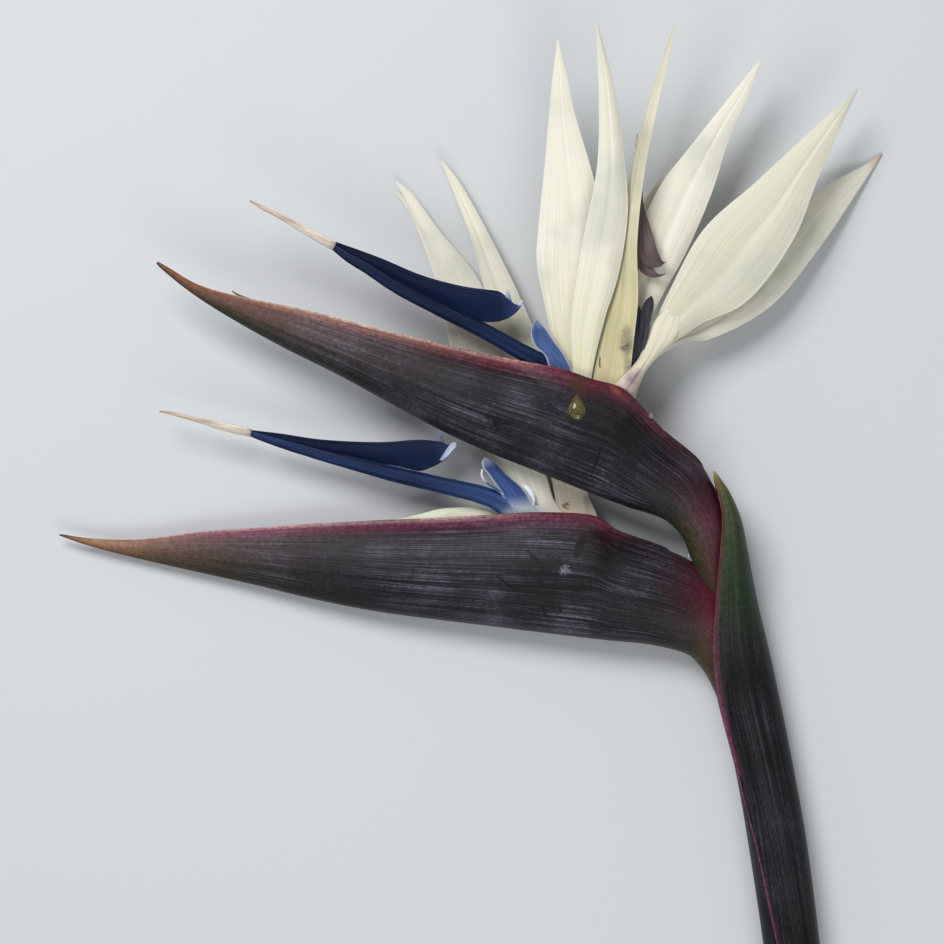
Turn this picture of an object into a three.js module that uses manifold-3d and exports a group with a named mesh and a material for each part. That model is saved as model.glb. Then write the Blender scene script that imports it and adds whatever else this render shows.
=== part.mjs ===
// Giant white bird of paradise: one cut flower head with two spathes, lying on its side.
// Millimetres, +Z up. The stalk runs towards -Y and the sepals fan out towards +Y.
// The origin lies under the node, where the two spathes leave the stalk, on the resting surface.
import * as THREE from 'three';
import { mergeVertices } from 'three/addons/utils/BufferGeometryUtils.js';
import Module from 'manifold-3d';

const GAP = 0.3; // clearance between neighbouring pieces
const SEPAL_THICKNESS = 0.9;
const PETAL_THICKNESS = 1.0;
const SPATHE_WALL = 2.0;
const SHEATH_WALL = 1.5;
const KEEL_FLOOR = 4; // fleshy bottom of a spathe under its hollow
const SEAT_DEPTH = 9.5; // how far below a spathe's rim the sepals spring from the flower base
const BLADE_STATIONS = 16;
const BLADE_ACROSS = 6;
const BODY_ACROSS = 8;
const SHAFT_SIDES_HALF = 4;
const HOLLOW_STEPS = 16;
const BASE_CLEARANCE = 0.8; // a flower base's sides to the spathe's faceted inner wall
const WIDEST = -0.05; // where a section is deepest, from -1 at its low outline point to 1 at its up point
const WELD = 1e-4; // vertices closer than this are one
const BODY_STEPS = { lowerSpathe: 28, upperSpathe: 30, stalk: 8, sheath: 16 };
const SHAFT_STEPS = 12;
const STIGMA_STEPS = 6;
const SMALL_PETAL_GRID = { stations: 10, across: 4 };
const WING = { thickness: 0.8, bulge: 0.6, stations: 9, across: 3 };
const BUD = { thickness: 1.6, stations: 14, across: 3 };
const THINNEST_SHAFT = 0.35; // smallest radius of a shaft
const HOLLOW_TOP = 5; // how far a spathe's hollow is cut upwards past its rim
const HOLLOW_END = { share: 0.03, roundness: 0.45 }; // how blunt a hollow's two ends are
const THINNEST_HOLLOW = 0.25; // smallest half depth of a hollow
const THINNEST_FILL = 0.2; // smallest half depth of the space inside the sheath
const SHEATH_OPENING = 5; // how far that space runs out past the sheath's margins
const CROWN_ROUNDNESS = 0.8; // how evenly a blade's bulge runs along it
const DIRECTION_STEP = 0.02; // share of a blade over which its direction is taken

const COLOURS = {
  stalk: 0x3a3036,
  sheath: 0x4b3a40,
  spathe: 0x4a3b42,
  sepal: 0xefe9d6,
  base: 0xe9d9cc,
  blue: 0x1f3a73,
  paleBlue: 0x7f97c8,
  stigma: 0xc9b189,
  withered: 0x6d5560,
  nectar: 0xc58a2b,
};

// A rib is one cross-section: its two outline points, half depth, centre height and the
// half depths kept at its first and second outline point.
const rib = (low, up, depth, z, lowHalf = 0.4, upHalf = 0.4) => ({ low, up, depth, z, lowHalf, upHalf });

// From the stalk to the tip: keel point, rim point.
const LOWER_SPATHE = [
  rib([-10, -31.5], [17.6, -25], 12.2, 14, 1, 1),
  rib([-15, -20.5], [9, 3], 13, 15.3, 1, 1),
  rib([-20, -13], [-4, 21], 13.3, 15.5, 0.8, 1),
  rib([-27, -7], [-22, 38], 15, 15.5, 0.6, 1),
  rib([-45, -2.5], [-40, 46.5], 16.6, 15.7, 0.5, 1.5),
  rib([-65, -0.5], [-61, 54], 17, 16, 0.5, 5.5),
  rib([-78, 1], [-74, 61.5], 17, 16, 0.5, 10.2),
  rib([-103, 4], [-100, 63], 16.5, 15.5, 0.5, 10.2),
  rib([-123, 6.5], [-121, 62], 15.5, 15, 0.5, 9.6),
  rib([-152, 10], [-150, 60], 13.5, 13.5, 0.5, 2.5),
  rib([-182, 14], [-180, 59], 11.5, 11.8, 0.5, 1.2),
  rib([-212, 19.8], [-210, 57.5], 9.5, 10, 0.5, 1),
  rib([-242, 27], [-240, 55.5], 7.3, 8.2, 0.5, 0.8),
  rib([-272, 33.7], [-270, 53.5], 5, 7, 0.5, 0.6),
  rib([-302, 40.5], [-301, 49.8], 2.8, 6.5, 0.4, 0.5),
  rib([-326, 46.7], [-325, 50.3], 1.5, 7, 0.4, 0.4),
  rib([-341, 51.9], [-341.5, 52.7], 0.5, 7.5, 0.35, 0.35),
];

const UPPER_SPATHE = [
  rib([-17, 20], [-1, 14], 8, 16, 1, 1),
  rib([-23.5, 38.5], [-4, 35], 9, 20, 1, 1),
  rib([-29, 51.5], [-6.5, 55], 9.5, 25, 0.8, 1),
  rib([-37, 59.5], [-11, 70], 10.5, 29, 0.6, 1),
  rib([-45, 63], [-20, 88], 12, 32, 0.5, 1),
  rib([-55, 66], [-40, 105], 13.5, 34, 0.5, 6),
  rib([-66, 70], [-52, 118], 14, 34, 0.5, 10.6),
  rib([-75, 73.5], [-61, 125.5], 14, 34, 0.5, 11),
  rib([-90, 79.5], [-75, 129.5], 14, 34, 0.5, 11),
  rib([-107.5, 86.5], [-90, 134.5], 14, 34, 0.5, 10.8),
  rib([-125, 93.5], [-107.5, 138], 13.5, 34, 0.5, 7.5),
  rib([-145, 102.5], [-127.5, 142], 13, 34, 0.5, 2),
  rib([-170, 115.5], [-152.5, 148], 11.5, 33.5, 0.5, 1.2),
  rib([-200, 132], [-185, 156], 9, 33, 0.5, 0.9),
  rib([-230, 147], [-217.5, 164.5], 6.8, 32, 0.5, 0.7),
  rib([-257.5, 162.5], [-247.5, 170.8], 4.2, 31, 0.4, 0.5),
  rib([-275, 174], [-270, 177], 2.2, 30, 0.4, 0.5),
  rib([-287.5, 184], [-286, 186], 1, 29.5, 0.35, 0.4),
  rib([-291.6, 188], [-291, 189], 0.4, 29.3, 0.3, 0.3),
];

// From the cut end upwards: left point, right point.
const STALK = [
  rib([15, -180], [41.2, -180], 12.2, 14, 1, 1),
  rib([12, -152], [38.7, -152], 12.2, 14, 1, 1),
  rib([5, -105], [32.7, -105], 12.2, 14, 1, 1),
  rib([-1.5, -67.5], [26.2, -67.5], 12.2, 14, 1, 1),
  rib([-9.7, -32], [17.9, -25.5], 12.2, 14, 1, 1),
];

// The sheath's margin and its outer edge, from the cut end to its tip.
const SHEATH = [
  rib([25, -180], [43, -180], 14, 14, 13.4, 1),
  rib([18.5, -152], [40.5, -152], 14, 14, 11.7, 1),
  rib([8.5, -105], [34.5, -105], 14, 14, 8.3, 1),
  rib([-1, -67.5], [28, -67.5], 14, 14, 5, 1),
  rib([-10.5, -30], [20.5, -30], 15.4, 14.4, 6, 1),
  rib([-13.5, -5], [15, -5], 16.8, 14.8, 14.5, 1),
  rib([-12, 20], [9, 20], 16.8, 16.4, 15, 1),
  rib([-10, 45], [4, 45], 14.5, 22.5, 13.8, 1),
  rib([-9, 60], [0.75, 60], 12.5, 27, 11.5, 1),
  rib([-10.75, 72.5], [-4.5, 72.5], 9, 31, 8.4, 0.8),
  rib([-12.75, 80], [-9.5, 80], 5, 34.5, 4.6, 0.6),
  rib([-13.8, 84.5], [-13.1, 84.5], 1, 37, 0.9, 0.5),
];

// Each blade: left and right outline from its base to its tip, the height along each outline
// at even steps, and how far its middle bulges towards +Z.
const SEPALS = {
  lower_sepal_1: {
    left: [[-113, 50], [-114, 60], [-117, 82.5], [-127, 94], [-145, 147], [-152, 178.5], [-165, 213],
      [-173, 225]],
    right: [[-98.5, 50], [-98, 60], [-100, 80], [-117.5, 130], [-135, 170], [-150, 200], [-162.5, 217.5],
      [-172.5, 225.4]],
    leftZ: [10.5, 8, 6, 1.2],
    rightZ: [10.5, 8.5, 6, 1.2],
    bulge: 1.5,
  },
  lower_sepal_2: {
    left: [[-112, 50], [-113, 60], [-116, 85], [-130, 120], [-144, 160], [-155, 195], [-166.5, 218.5],
      [-172.7, 230.3]],
    right: [[-97, 50], [-95.5, 60], [-96, 81], [-110, 120], [-129.5, 178.5], [-150, 205], [-165, 225],
      [-172.3, 230.7]],
    leftZ: [13.2, 11, 9.5, 5],
    rightZ: [13.2, 11, 9.5, 5],
    bulge: 2,
  },
  lower_sepal_3: {
    left: [[-93, 50], [-92, 60], [-92.5, 72], [-100, 100], [-115, 135], [-125, 165], [-133.5, 197.5],
      [-145, 228.5], [-150.7, 241.9]],
    right: [[-73, 50], [-71, 60], [-76, 73], [-82.5, 100], [-103, 156], [-125, 202.5], [-142, 232.5],
      [-150.2, 242.2]],
    leftZ: [14.5, 13.5, 12, 7],
    rightZ: [16, 14.5, 13, 7],
    bulge: 2,
  },
  upper_sepal_1: {
    left: [[-92, 124], [-94.5, 151], [-97, 164], [-101.75, 189], [-101, 205], [-97.5, 240], [-94, 280],
      [-91.6, 299]],
    right: [[-83, 119], [-75, 155], [-69, 185], [-68, 205], [-73, 229], [-83.5, 265], [-86.5, 280],
      [-90.9, 299.2]],
    leftZ: [33, 33, 36, 44],
    rightZ: [33.5, 37, 39, 44],
    bulge: 2,
  },
  upper_sepal_2: {
    left: [[-83.5, 119.5], [-84, 137.5], [-85, 155], [-79.5, 195], [-72, 235], [-71, 265], [-72.9, 306.8]],
    right: [[-76, 116], [-74, 134], [-68, 160], [-61, 182.5], [-56.5, 212.5], [-57.5, 232.5], [-63.5, 275],
      [-72.2, 307]],
    leftZ: [39.4, 42, 48, 60],
    rightZ: [39.4, 42, 46, 60],
    bulge: 2.5,
  },
  upper_sepal_3: {
    left: [[-71.5, 113], [-70.5, 145], [-66, 170], [-60, 200], [-56.5, 225], [-52, 246], [-42.5, 280],
      [-34, 305.4]],
    right: [[-58, 107], [-54, 145], [-51.5, 170], [-52, 197.5], [-48, 235], [-42, 265], [-38, 282.5],
      [-33.2, 305.7]],
    leftZ: [38.8, 36, 38, 52],
    rightZ: [39.4, 45, 49, 53],
    bulge: 1,
  },
  upper_sepal_4: {
    left: [[-67, 111], [-64, 145], [-60, 170], [-54, 195], [-40, 227], [-25, 246.5], [-4.5, 272.5],
      [9.6, 289.9]],
    right: [[-60, 107.5], [-50, 145], [-40, 170], [-27.5, 192.5], [-14.5, 222.5], [-4.5, 253.5], [4, 271.5],
      [10.3, 289.5]],
    leftZ: [31.5, 29, 29, 34],
    rightZ: [31.5, 28, 28, 34],
    bulge: 1.5,
  },
  upper_sepal_5: {
    left: [[-68.5, 111], [-61, 155], [-56, 190], [-51, 213.5], [-45, 224], [-34, 237]],
    right: [[-62, 107.5], [-53, 155], [-45, 190], [-40, 212.5], [-36.5, 225], [-33.2, 237]],
    leftZ: [27.4, 25, 22.5, 23],
    rightZ: [27.4, 25, 22.5, 23],
    bulge: 1,
  },
  upper_sepal_6: {
    left: [[-65, 110], [-55, 140], [-45, 155], [-36.5, 172.5], [-18.5, 205], [8, 229], [30, 249.5],
      [58, 275.3]],
    right: [[-57.5, 106.5], [-52.5, 129], [-42.5, 141], [-20, 157.5], [2.5, 168.5], [26.5, 200], [39, 231],
      [58.6, 274.9]],
    leftZ: [34, 33.5, 33, 30],
    rightZ: [34, 33, 32, 30],
    bulge: 2.5,
  },
  upper_sepal_7: {
    left: [[-64, 109.5], [-50, 137.5], [-30, 155], [-5, 175], [17.5, 200], [42.5, 226.5], [65, 239.5],
      [72.2, 244.7]],
    right: [[-57, 106], [-46, 136], [-30, 148], [-15, 150.5], [15, 166.5], [37.5, 192.5], [60, 225],
      [72.7, 244.2]],
    leftZ: [29.4, 24, 15, 0.9],
    rightZ: [29.4, 23.5, 13, 0.9],
    bulge: 2,
  },
};

const SMALL_PETALS = {
  upper_small_petal: {
    left: [[-91, 122], [-97.5, 141.5], [-103.5, 147], [-104.5, 152.5], [-102.2, 159.3]],
    right: [[-87, 120], [-85.2, 133], [-87.5, 141.5], [-92.5, 148.5], [-97.5, 155.5], [-101.5, 159.5]],
    leftZ: [39.3, 41.6, 45],
    rightZ: [39.3, 41.6, 44],
    bulge: -1.2,
  },
  lower_small_petal: {
    left: [[-110, 50], [-119, 74], [-126.5, 77.5], [-129.5, 85], [-127.7, 91]],
    right: [[-104, 50], [-103.5, 69.5], [-108.5, 75.5], [-115, 81.5], [-120, 85.5], [-126.7, 91.2]],
    leftZ: [18.6, 22.5, 25],
    rightZ: [18.6, 21.5, 24],
    bulge: -1.2,
  },
  withered_small_petal: {
    left: [[-61, 108], [-59, 141], [-54.5, 155], [-51, 165], [-45.2, 171.5]],
    right: [[-58, 107], [-51, 144], [-47.5, 150], [-45, 160], [-43.5, 168], [-44.6, 171.7]],
    leftZ: [36.4, 37.5, 38.5, 39.5],
    rightZ: [36.4, 37.5, 38.5, 39.5],
    bulge: -1,
  },
};

// Arrow-shaped petals: a ridged shaft of points [x, y, z, radius] and two wings beside it.
const ARROWS = {
  upper_arrow: {
    shaft: [[-88, 120, 36.4, 1.3], [-91, 132.5, 36.6, 1.5], [-100, 140, 37.4, 2.2], [-120, 150.5, 39, 2.6],
      [-140, 161, 39.5, 3], [-160, 172, 39.8, 3.2], [-182, 184.5, 39.5, 2.6], [-204, 196.8, 39, 1.4]],
    inner: [[-203.5, 196.6], [-180, 184.5], [-155, 170.5], [-135, 160.5], [-128, 158.8], [-120, 159.5],
      [-113, 163], [-109.8, 166]],
    outer: [[-203.6, 198], [-192.5, 195], [-177.5, 187.5], [-162.5, 181.5], [-147.5, 177], [-132.5, 175],
      [-120, 172], [-109.5, 166.8]],
    spread: 3.2,
  },
  lower_arrow: {
    shaft: [[-115.5, 50, 19, 1.5], [-117, 66, 19.8, 1.7], [-125, 72.5, 20.6, 2.1], [-140, 76.5, 21.5, 2.5],
      [-160, 82.5, 22, 3], [-180, 89, 22, 3.2], [-210, 96.5, 22, 2.6], [-245, 103.6, 21, 1.4]],
    inner: [[-244.5, 103.4], [-210, 96], [-180, 89.5], [-164, 84.5], [-158, 85.2], [-152.5, 88.5],
      [-147.5, 91], [-143.3, 97]],
    outer: [[-244.6, 105], [-235, 105], [-220, 101.8], [-200, 98.2], [-180, 97.8], [-162.5, 99.6],
      [-148.5, 98.6], [-143, 98]],
    spread: 3,
  },
  withered_arrow: {
    shaft: [[-66, 108, 36.2, 0.9], [-63, 130, 36.3, 1], [-59.5, 152, 36.4, 1.1], [-55, 175, 36.4, 1.4],
      [-51.5, 192, 36.4, 1.5], [-50, 220, 36, 1.1], [-51.8, 240, 35.6, 0.6]],
    inner: [[-49.8, 226], [-50.2, 210], [-51, 194], [-48, 184.5], [-42.5, 181.8], [-38, 183]],
    outer: [[-49.2, 227], [-47.6, 213.5], [-45.5, 205], [-44, 200], [-40.5, 191.5], [-37, 189]],
    spread: 1.5,
  },
};

const STIGMAS = {
  upper_stigma: [[-204.9, 197.4, 39, 1.6], [-215, 203.5, 39, 1.6], [-227.5, 210, 39, 1.2],
    [-239, 216, 39, 0.8], [-244.5, 219, 39, 0.4]],
  lower_stigma: [[-245.9, 103.9, 21, 1.4], [-255, 105.5, 21, 1.5], [-270, 109.5, 21, 1.2],
    [-282.5, 113, 21, 0.8], [-290.5, 114.5, 21, 0.4]],
  withered_stigma: [[-51.9, 240.9, 35.5, 0.6], [-52.5, 246, 35.3, 0.7], [-51.5, 252.5, 35, 0.4]],
};

// The next bud's pale sepal shows along the lower spathe's rim.
const BUD_SEPAL = {
  left: [[-124, 57], [-140, 56.5], [-160, 56.5], [-178, 58.6]],
  right: [[-123, 64], [-130, 66], [-140, 66.3], [-150, 65.5], [-160, 63], [-170, 60.7], [-178, 59.4]],
  leftZ: [15, 13, 12],
  rightZ: [15, 13.5, 12],
  bulge: 0,
};

const NECTAR_DROP = { centre: [-82, 115.3, 45.5], radii: [4.8, 6.7, 3.2] };

// Rib numbers between which each spathe is hollow, and the steps of that hollow which each
// flower base fills.
const HOLLOWS = {
  lower: { from: 5.2, to: 8.8 },
  upper: { from: 5.4, to: 10.7 },
};
const FLOWER_BASES = {
  lower_flower_base: { spathe: LOWER_SPATHE, hollow: HOLLOWS.lower, first: 1, last: 12 },
  upper_flower_base_1: { spathe: UPPER_SPATHE, hollow: HOLLOWS.upper, first: 7, last: 13 },
  upper_flower_base_2: { spathe: UPPER_SPATHE, hollow: HOLLOWS.upper, first: 2, last: 6 },
};

const wasm = await Module();
wasm.setup();

// Smooth value along a list of evenly spaced values.
function smoothValue(values, position) {
  const curve = new THREE.SplineCurve(values.map((value, i) => new THREE.Vector2(i, value)));
  return curve.getPoint(position).y;
}

function ribAt(ribs, position) {
  const pick = (read) => smoothValue(ribs.map(read), position / (ribs.length - 1));
  return {
    low: new THREE.Vector3(pick((r) => r.low[0]), pick((r) => r.low[1]), 0),
    up: new THREE.Vector3(pick((r) => r.up[0]), pick((r) => r.up[1]), 0),
    depth: pick((r) => r.depth),
    z: pick((r) => r.z),
    lowHalf: pick((r) => r.lowHalf),
    upHalf: pick((r) => r.upHalf),
  };
}

// Half depth of a body's section at u, from -1 at its low outline point to 1 at its up point.
function halfDepth(section, u) {
  const reach = u < WIDEST ? (WIDEST - u) / (1 + WIDEST) : (u - WIDEST) / (1 - WIDEST);
  const round = section.depth * Math.sqrt(Math.max(0, 1 - Math.min(1, reach) ** 2));
  return Math.max(round, u < WIDEST ? section.lowHalf : section.upHalf);
}

// Joins rings of equal length into one closed body. The first half of a ring is the front,
// the second half the back in reverse, and both are split into triangles alike.
function closedLoft(rings) {
  const count = rings[0].length;
  const half = count / 2;
  const vertices = rings.flat().flatMap((p) => [p.x, p.y, Math.max(0, p.z)]);
  const faces = [];
  const quad = (a, b, c, d, flip) => faces.push(...(flip ? [a, b, d, b, c, d] : [a, b, c, a, c, d]));
  for (let i = 0; i + 1 < rings.length; i += 1) {
    for (let j = 0; j < count; j += 1) {
      const next = (j + 1) % count;
      quad(i * count + j, i * count + next, (i + 1) * count + next, (i + 1) * count + j, j >= half);
    }
  }
  const last = (rings.length - 1) * count;
  for (let j = 0; j + 1 < half; j += 1) {
    const far = count - 1 - j;
    quad(j, far, far - 1, j + 1, false);
    quad(last + j, last + j + 1, last + far - 1, last + far, false);
  }
  return solidOf(vertices, faces);
}

function solidOf(vertices, faces) {
  const geometry = new THREE.BufferGeometry();
  geometry.setAttribute('position', new THREE.Float32BufferAttribute(vertices, 3));
  geometry.setIndex(faces);
  const merged = mergeVertices(geometry, WELD);
  const mesh = new wasm.Mesh({
    numProp: 3,
    vertProperties: new Float32Array(merged.attributes.position.array),
    triVerts: new Uint32Array(merged.index.array),
  });
  return new wasm.Manifold(mesh);
}

// A deep body through its ribs; grow pushes its whole surface outwards.
function bodyLoft(ribs, steps, { grow = 0 } = {}) {
  const rings = [];
  for (let i = 0; i <= steps; i += 1) {
    const section = ribAt(ribs, (i / steps) * (ribs.length - 1));
    rings.push(sectionRing(section, -1, 1, grow, (u) => halfDepth(section, u) + grow));
  }
  return closedLoft(rings);
}

// A ring across a section between two levels, with its ends pushed out by grow.
function sectionRing(section, from, to, grow, half) {
  const middle = section.low.clone().add(section.up).multiplyScalar(0.5);
  const across = section.up.clone().sub(section.low).multiplyScalar(0.5);
  const outward = across.clone().normalize().multiplyScalar(grow);
  const front = [];
  const back = [];
  for (let j = 0; j <= BODY_ACROSS; j += 1) {
    const share = (1 - Math.cos((Math.PI * j) / BODY_ACROSS)) / 2;
    const u = from + (to - from) * share;
    const level = middle.clone().addScaledVector(across, u).addScaledVector(outward, 2 * share - 1);
    front.push(new THREE.Vector3(level.x, level.y, section.z + half(u)));
    back.unshift(new THREE.Vector3(level.x, level.y, section.z - half(u)));
  }
  return [...front, ...back];
}

// The space inside a spathe, wall inside its skin and up to top above its rim. Its ends taper
// like a boat's.
function hollowLoft(ribs, hollow, wall, top, { first = 0, last = HOLLOW_STEPS, extraFloor = 0 } = {}) {
  const rings = [];
  for (let i = first; i <= last; i += 1) {
    const along = i / HOLLOW_STEPS;
    const section = ribAt(ribs, hollow.from + (hollow.to - hollow.from) * along);
    const height = section.low.distanceTo(section.up);
    const inward = THREE.MathUtils.clamp(along, HOLLOW_END.share, 1 - HOLLOW_END.share);
    const taper = Math.sin(Math.PI * inward) ** HOLLOW_END.roundness;
    const floor = 1 - (2 * (height - KEEL_FLOOR - extraFloor) * taper) / height;
    const ceiling = 1 + (2 * top) / height;
    const half = (u) => Math.max(THINNEST_HOLLOW, (halfDepth(section, Math.min(u, 1)) - wall) * taper);
    rings.push(sectionRing(section, Math.min(floor, ceiling - 0.1), ceiling, 0, half));
  }
  return closedLoft(rings);
}

function outline(points, heights, position) {
  const spots = points.map(([x, y]) => new THREE.Vector3(x, y, 0));
  const curve = new THREE.CatmullRomCurve3(spots, false, 'centripetal');
  const point = curve.getPointAt(position);
  point.z = smoothValue(heights, position);
  return point;
}

// A thin blade between its two outlines.
function bladeLoft(blade, thickness, stations = BLADE_STATIONS, across = BLADE_ACROSS) {
  const rings = [];
  const middleAt = (t) => outline(blade.left, blade.leftZ, t).add(outline(blade.right, blade.rightZ, t));
  for (let i = 0; i <= stations; i += 1) {
    const t = i / stations;
    const left = outline(blade.left, blade.leftZ, t);
    const right = outline(blade.right, blade.rightZ, t);
    const ahead = middleAt(Math.min(1, t + DIRECTION_STEP));
    const along = ahead.sub(middleAt(Math.max(0, t - DIRECTION_STEP)));
    const normal = right.clone().sub(left).cross(along).normalize();
    const crown = blade.bulge * Math.sin(Math.PI * t) ** CROWN_ROUNDNESS;
    const front = [];
    const back = [];
    for (let j = 0; j <= across; j += 1) {
      const u = j / across;
      const spot = left.clone().lerp(right, u).addScaledVector(normal, crown * (1 - (2 * u - 1) ** 2));
      front.push(spot.clone().addScaledVector(normal, thickness / 2));
      back.unshift(spot.clone().addScaledVector(normal, -thickness / 2));
    }
    rings.push([...front, ...back]);
  }
  return closedLoft(rings);
}

// A round tapered shaft through points [x, y, z, radius].
function shaftLoft(points, steps) {
  const curve = new THREE.CatmullRomCurve3(points.map(([x, y, z]) => new THREE.Vector3(x, y, z)));
  const radii = points.map((p) => p[3]);
  const rings = [];
  for (let i = 0; i <= steps; i += 1) {
    const t = i / steps;
    const centre = curve.getPoint(t);
    const tangent = curve.getTangent(t);
    const side = tangent.clone().cross(new THREE.Vector3(0, 0, 1)).normalize();
    const upward = side.clone().cross(tangent).normalize();
    const radius = Math.max(THINNEST_SHAFT, smoothValue(radii, t));
    const ring = [];
    for (let j = 0; j < 2 * SHAFT_SIDES_HALF; j += 1) {
      const angle = Math.PI - (Math.PI * (j + 0.5)) / SHAFT_SIDES_HALF;
      ring.push(centre.clone().addScaledVector(side, radius * Math.cos(angle))
        .addScaledVector(upward, radius * Math.sin(angle)));
    }
    rings.push(ring);
  }
  return closedLoft(rings);
}

function arrowPetal({ shaft, inner, outer, spread }) {
  const tipZ = shaft.at(-1)[2];
  const barbZ = shaft[4][2];
  let solid = shaftLoft(shaft, SHAFT_STEPS);
  for (const side of [1, -1]) {
    const wing = {
      left: outer,
      right: inner,
      leftZ: [tipZ, barbZ + side * spread * 0.7, barbZ + side * spread],
      rightZ: [tipZ, barbZ, barbZ + side * spread * 0.8],
      bulge: side * WING.bulge,
    };
    solid = solid.add(bladeLoft(wing, WING.thickness, WING.stations, WING.across));
  }
  return solid;
}

// The largest piece of a solid, without loose scraps.
function mainPiece(solid) {
  const pieces = solid.decompose();
  return pieces.reduce((best, piece) => (piece.volume() > best.volume() ? piece : best));
}

const solids = {};
const lowerShell = bodyLoft(LOWER_SPATHE, BODY_STEPS.lowerSpathe);
const lowerClear = bodyLoft(LOWER_SPATHE, BODY_STEPS.lowerSpathe, { grow: GAP });
const lowerHollow = hollowLoft(LOWER_SPATHE, HOLLOWS.lower, SPATHE_WALL, HOLLOW_TOP);
const upperHollow = hollowLoft(UPPER_SPATHE, HOLLOWS.upper, SPATHE_WALL, HOLLOW_TOP);
solids.lower_spathe = mainPiece(lowerShell.subtract(lowerHollow));
const upperShell = bodyLoft(UPPER_SPATHE, BODY_STEPS.upperSpathe);
const upperClear = bodyLoft(UPPER_SPATHE, BODY_STEPS.upperSpathe, { grow: GAP });
solids.upper_spathe = mainPiece(upperShell.subtract(upperHollow).subtract(lowerClear));
solids.stalk = bodyLoft(STALK, BODY_STEPS.stalk);

const sheathInside = SHEATH.map((r) => ({
  ...r,
  low: [r.low[0] - SHEATH_OPENING, r.low[1]],
  up: [r.up[0] - SHEATH_WALL, r.up[1]],
  depth: Math.max(THINNEST_FILL, r.depth - SHEATH_WALL),
  lowHalf: Math.max(THINNEST_FILL, r.lowHalf - SHEATH_WALL),
}));
solids.sheath = mainPiece(bodyLoft(SHEATH, BODY_STEPS.sheath)
  .subtract(bodyLoft(sheathInside, BODY_STEPS.sheath))
  .subtract(bodyLoft(STALK, BODY_STEPS.stalk, { grow: GAP }))
  .subtract(lowerClear)
  .subtract(upperClear));

for (const [name, { spathe, hollow, first, last }] of Object.entries(FLOWER_BASES)) {
  const reach = { first, last, extraFloor: GAP };
  solids[name] = hollowLoft(spathe, hollow, SPATHE_WALL + BASE_CLEARANCE, -SEAT_DEPTH, reach);
}
// What springs from a flower base is trimmed to stand just clear of it.
const lowerSeat = hollowLoft(LOWER_SPATHE, HOLLOWS.lower, 0, GAP - SEAT_DEPTH);
const upperSeat = hollowLoft(UPPER_SPATHE, HOLLOWS.upper, 0, GAP - SEAT_DEPTH);
const onSeat = (name, solid) => {
  const trimmed = solid.subtract(name.startsWith('lower') ? lowerSeat : upperSeat);
  return mainPiece(trimmed);
};
for (const [name, blade] of Object.entries(SEPALS)) {
  solids[name] = onSeat(name, bladeLoft(blade, SEPAL_THICKNESS));
}
for (const [name, blade] of Object.entries(SMALL_PETALS)) {
  const { stations, across } = SMALL_PETAL_GRID;
  solids[name] = onSeat(name, bladeLoft(blade, PETAL_THICKNESS, stations, across));
}
for (const [name, arrow] of Object.entries(ARROWS)) {
  solids[name] = onSeat(name, arrowPetal(arrow));
}
for (const [name, points] of Object.entries(STIGMAS)) {
  solids[name] = shaftLoft(points, STIGMA_STEPS);
}
const budBlade = bladeLoft(BUD_SEPAL, BUD.thickness, BUD.stations, BUD.across);
solids.bud_sepal = mainPiece(budBlade.subtract(lowerClear.subtract(lowerHollow)));

function nectarDrop({ centre, radii }) {
  const ball = new THREE.SphereGeometry(1, 12, 8);
  ball.deleteAttribute('normal');
  ball.deleteAttribute('uv');
  ball.scale(...radii);
  ball.translate(...centre);
  const merged = mergeVertices(ball, WELD);
  return solidOf(Array.from(merged.attributes.position.array), Array.from(merged.index.array));
}
solids.nectar_drop = mainPiece(nectarDrop(NECTAR_DROP).subtract(upperClear));

function finishOf(name) {
  if (name.includes('withered')) return [COLOURS.withered, 0.8];
  if (name.includes('sepal')) return [COLOURS.sepal, 0.55];
  if (name.includes('base')) return [COLOURS.base, 0.5];
  if (name.includes('stigma')) return [COLOURS.stigma, 0.7];
  if (name.includes('arrow')) return [COLOURS.blue, 0.4];
  if (name.includes('petal')) return [COLOURS.paleBlue, 0.45];
  if (name.includes('spathe')) return [COLOURS.spathe, 0.5];
  if (name.includes('nectar')) return [COLOURS.nectar, 0.1];
  return [COLOURS[name], 0.55];
}

function meshOf(name, solid) {
  const { vertProperties, triVerts } = solid.getMesh();
  const geometry = new THREE.BufferGeometry();
  geometry.setAttribute('position', new THREE.Float32BufferAttribute(vertProperties, 3));
  geometry.setIndex(Array.from(triVerts));
  geometry.computeVertexNormals();
  const [color, roughness] = finishOf(name);
  const mesh = new THREE.Mesh(geometry, new THREE.MeshStandardMaterial({ color, roughness, metalness: 0 }));
  mesh.name = name;
  return mesh;
}

const group = new THREE.Group();
for (const [name, solid] of Object.entries(solids)) group.add(meshOf(name, solid));

export default group;
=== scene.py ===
"""Giant white bird of paradise, one cut flower head lying on its side.

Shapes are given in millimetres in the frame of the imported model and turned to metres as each
mesh is placed: +Z up from the surface, +Y towards the sepals' tips, -X towards the spathes' tips.
"""
import logging
import math
from dataclasses import dataclass
from enum import Enum
from typing import Callable, Sequence

import bmesh
import bpy
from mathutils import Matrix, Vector, noise


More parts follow.
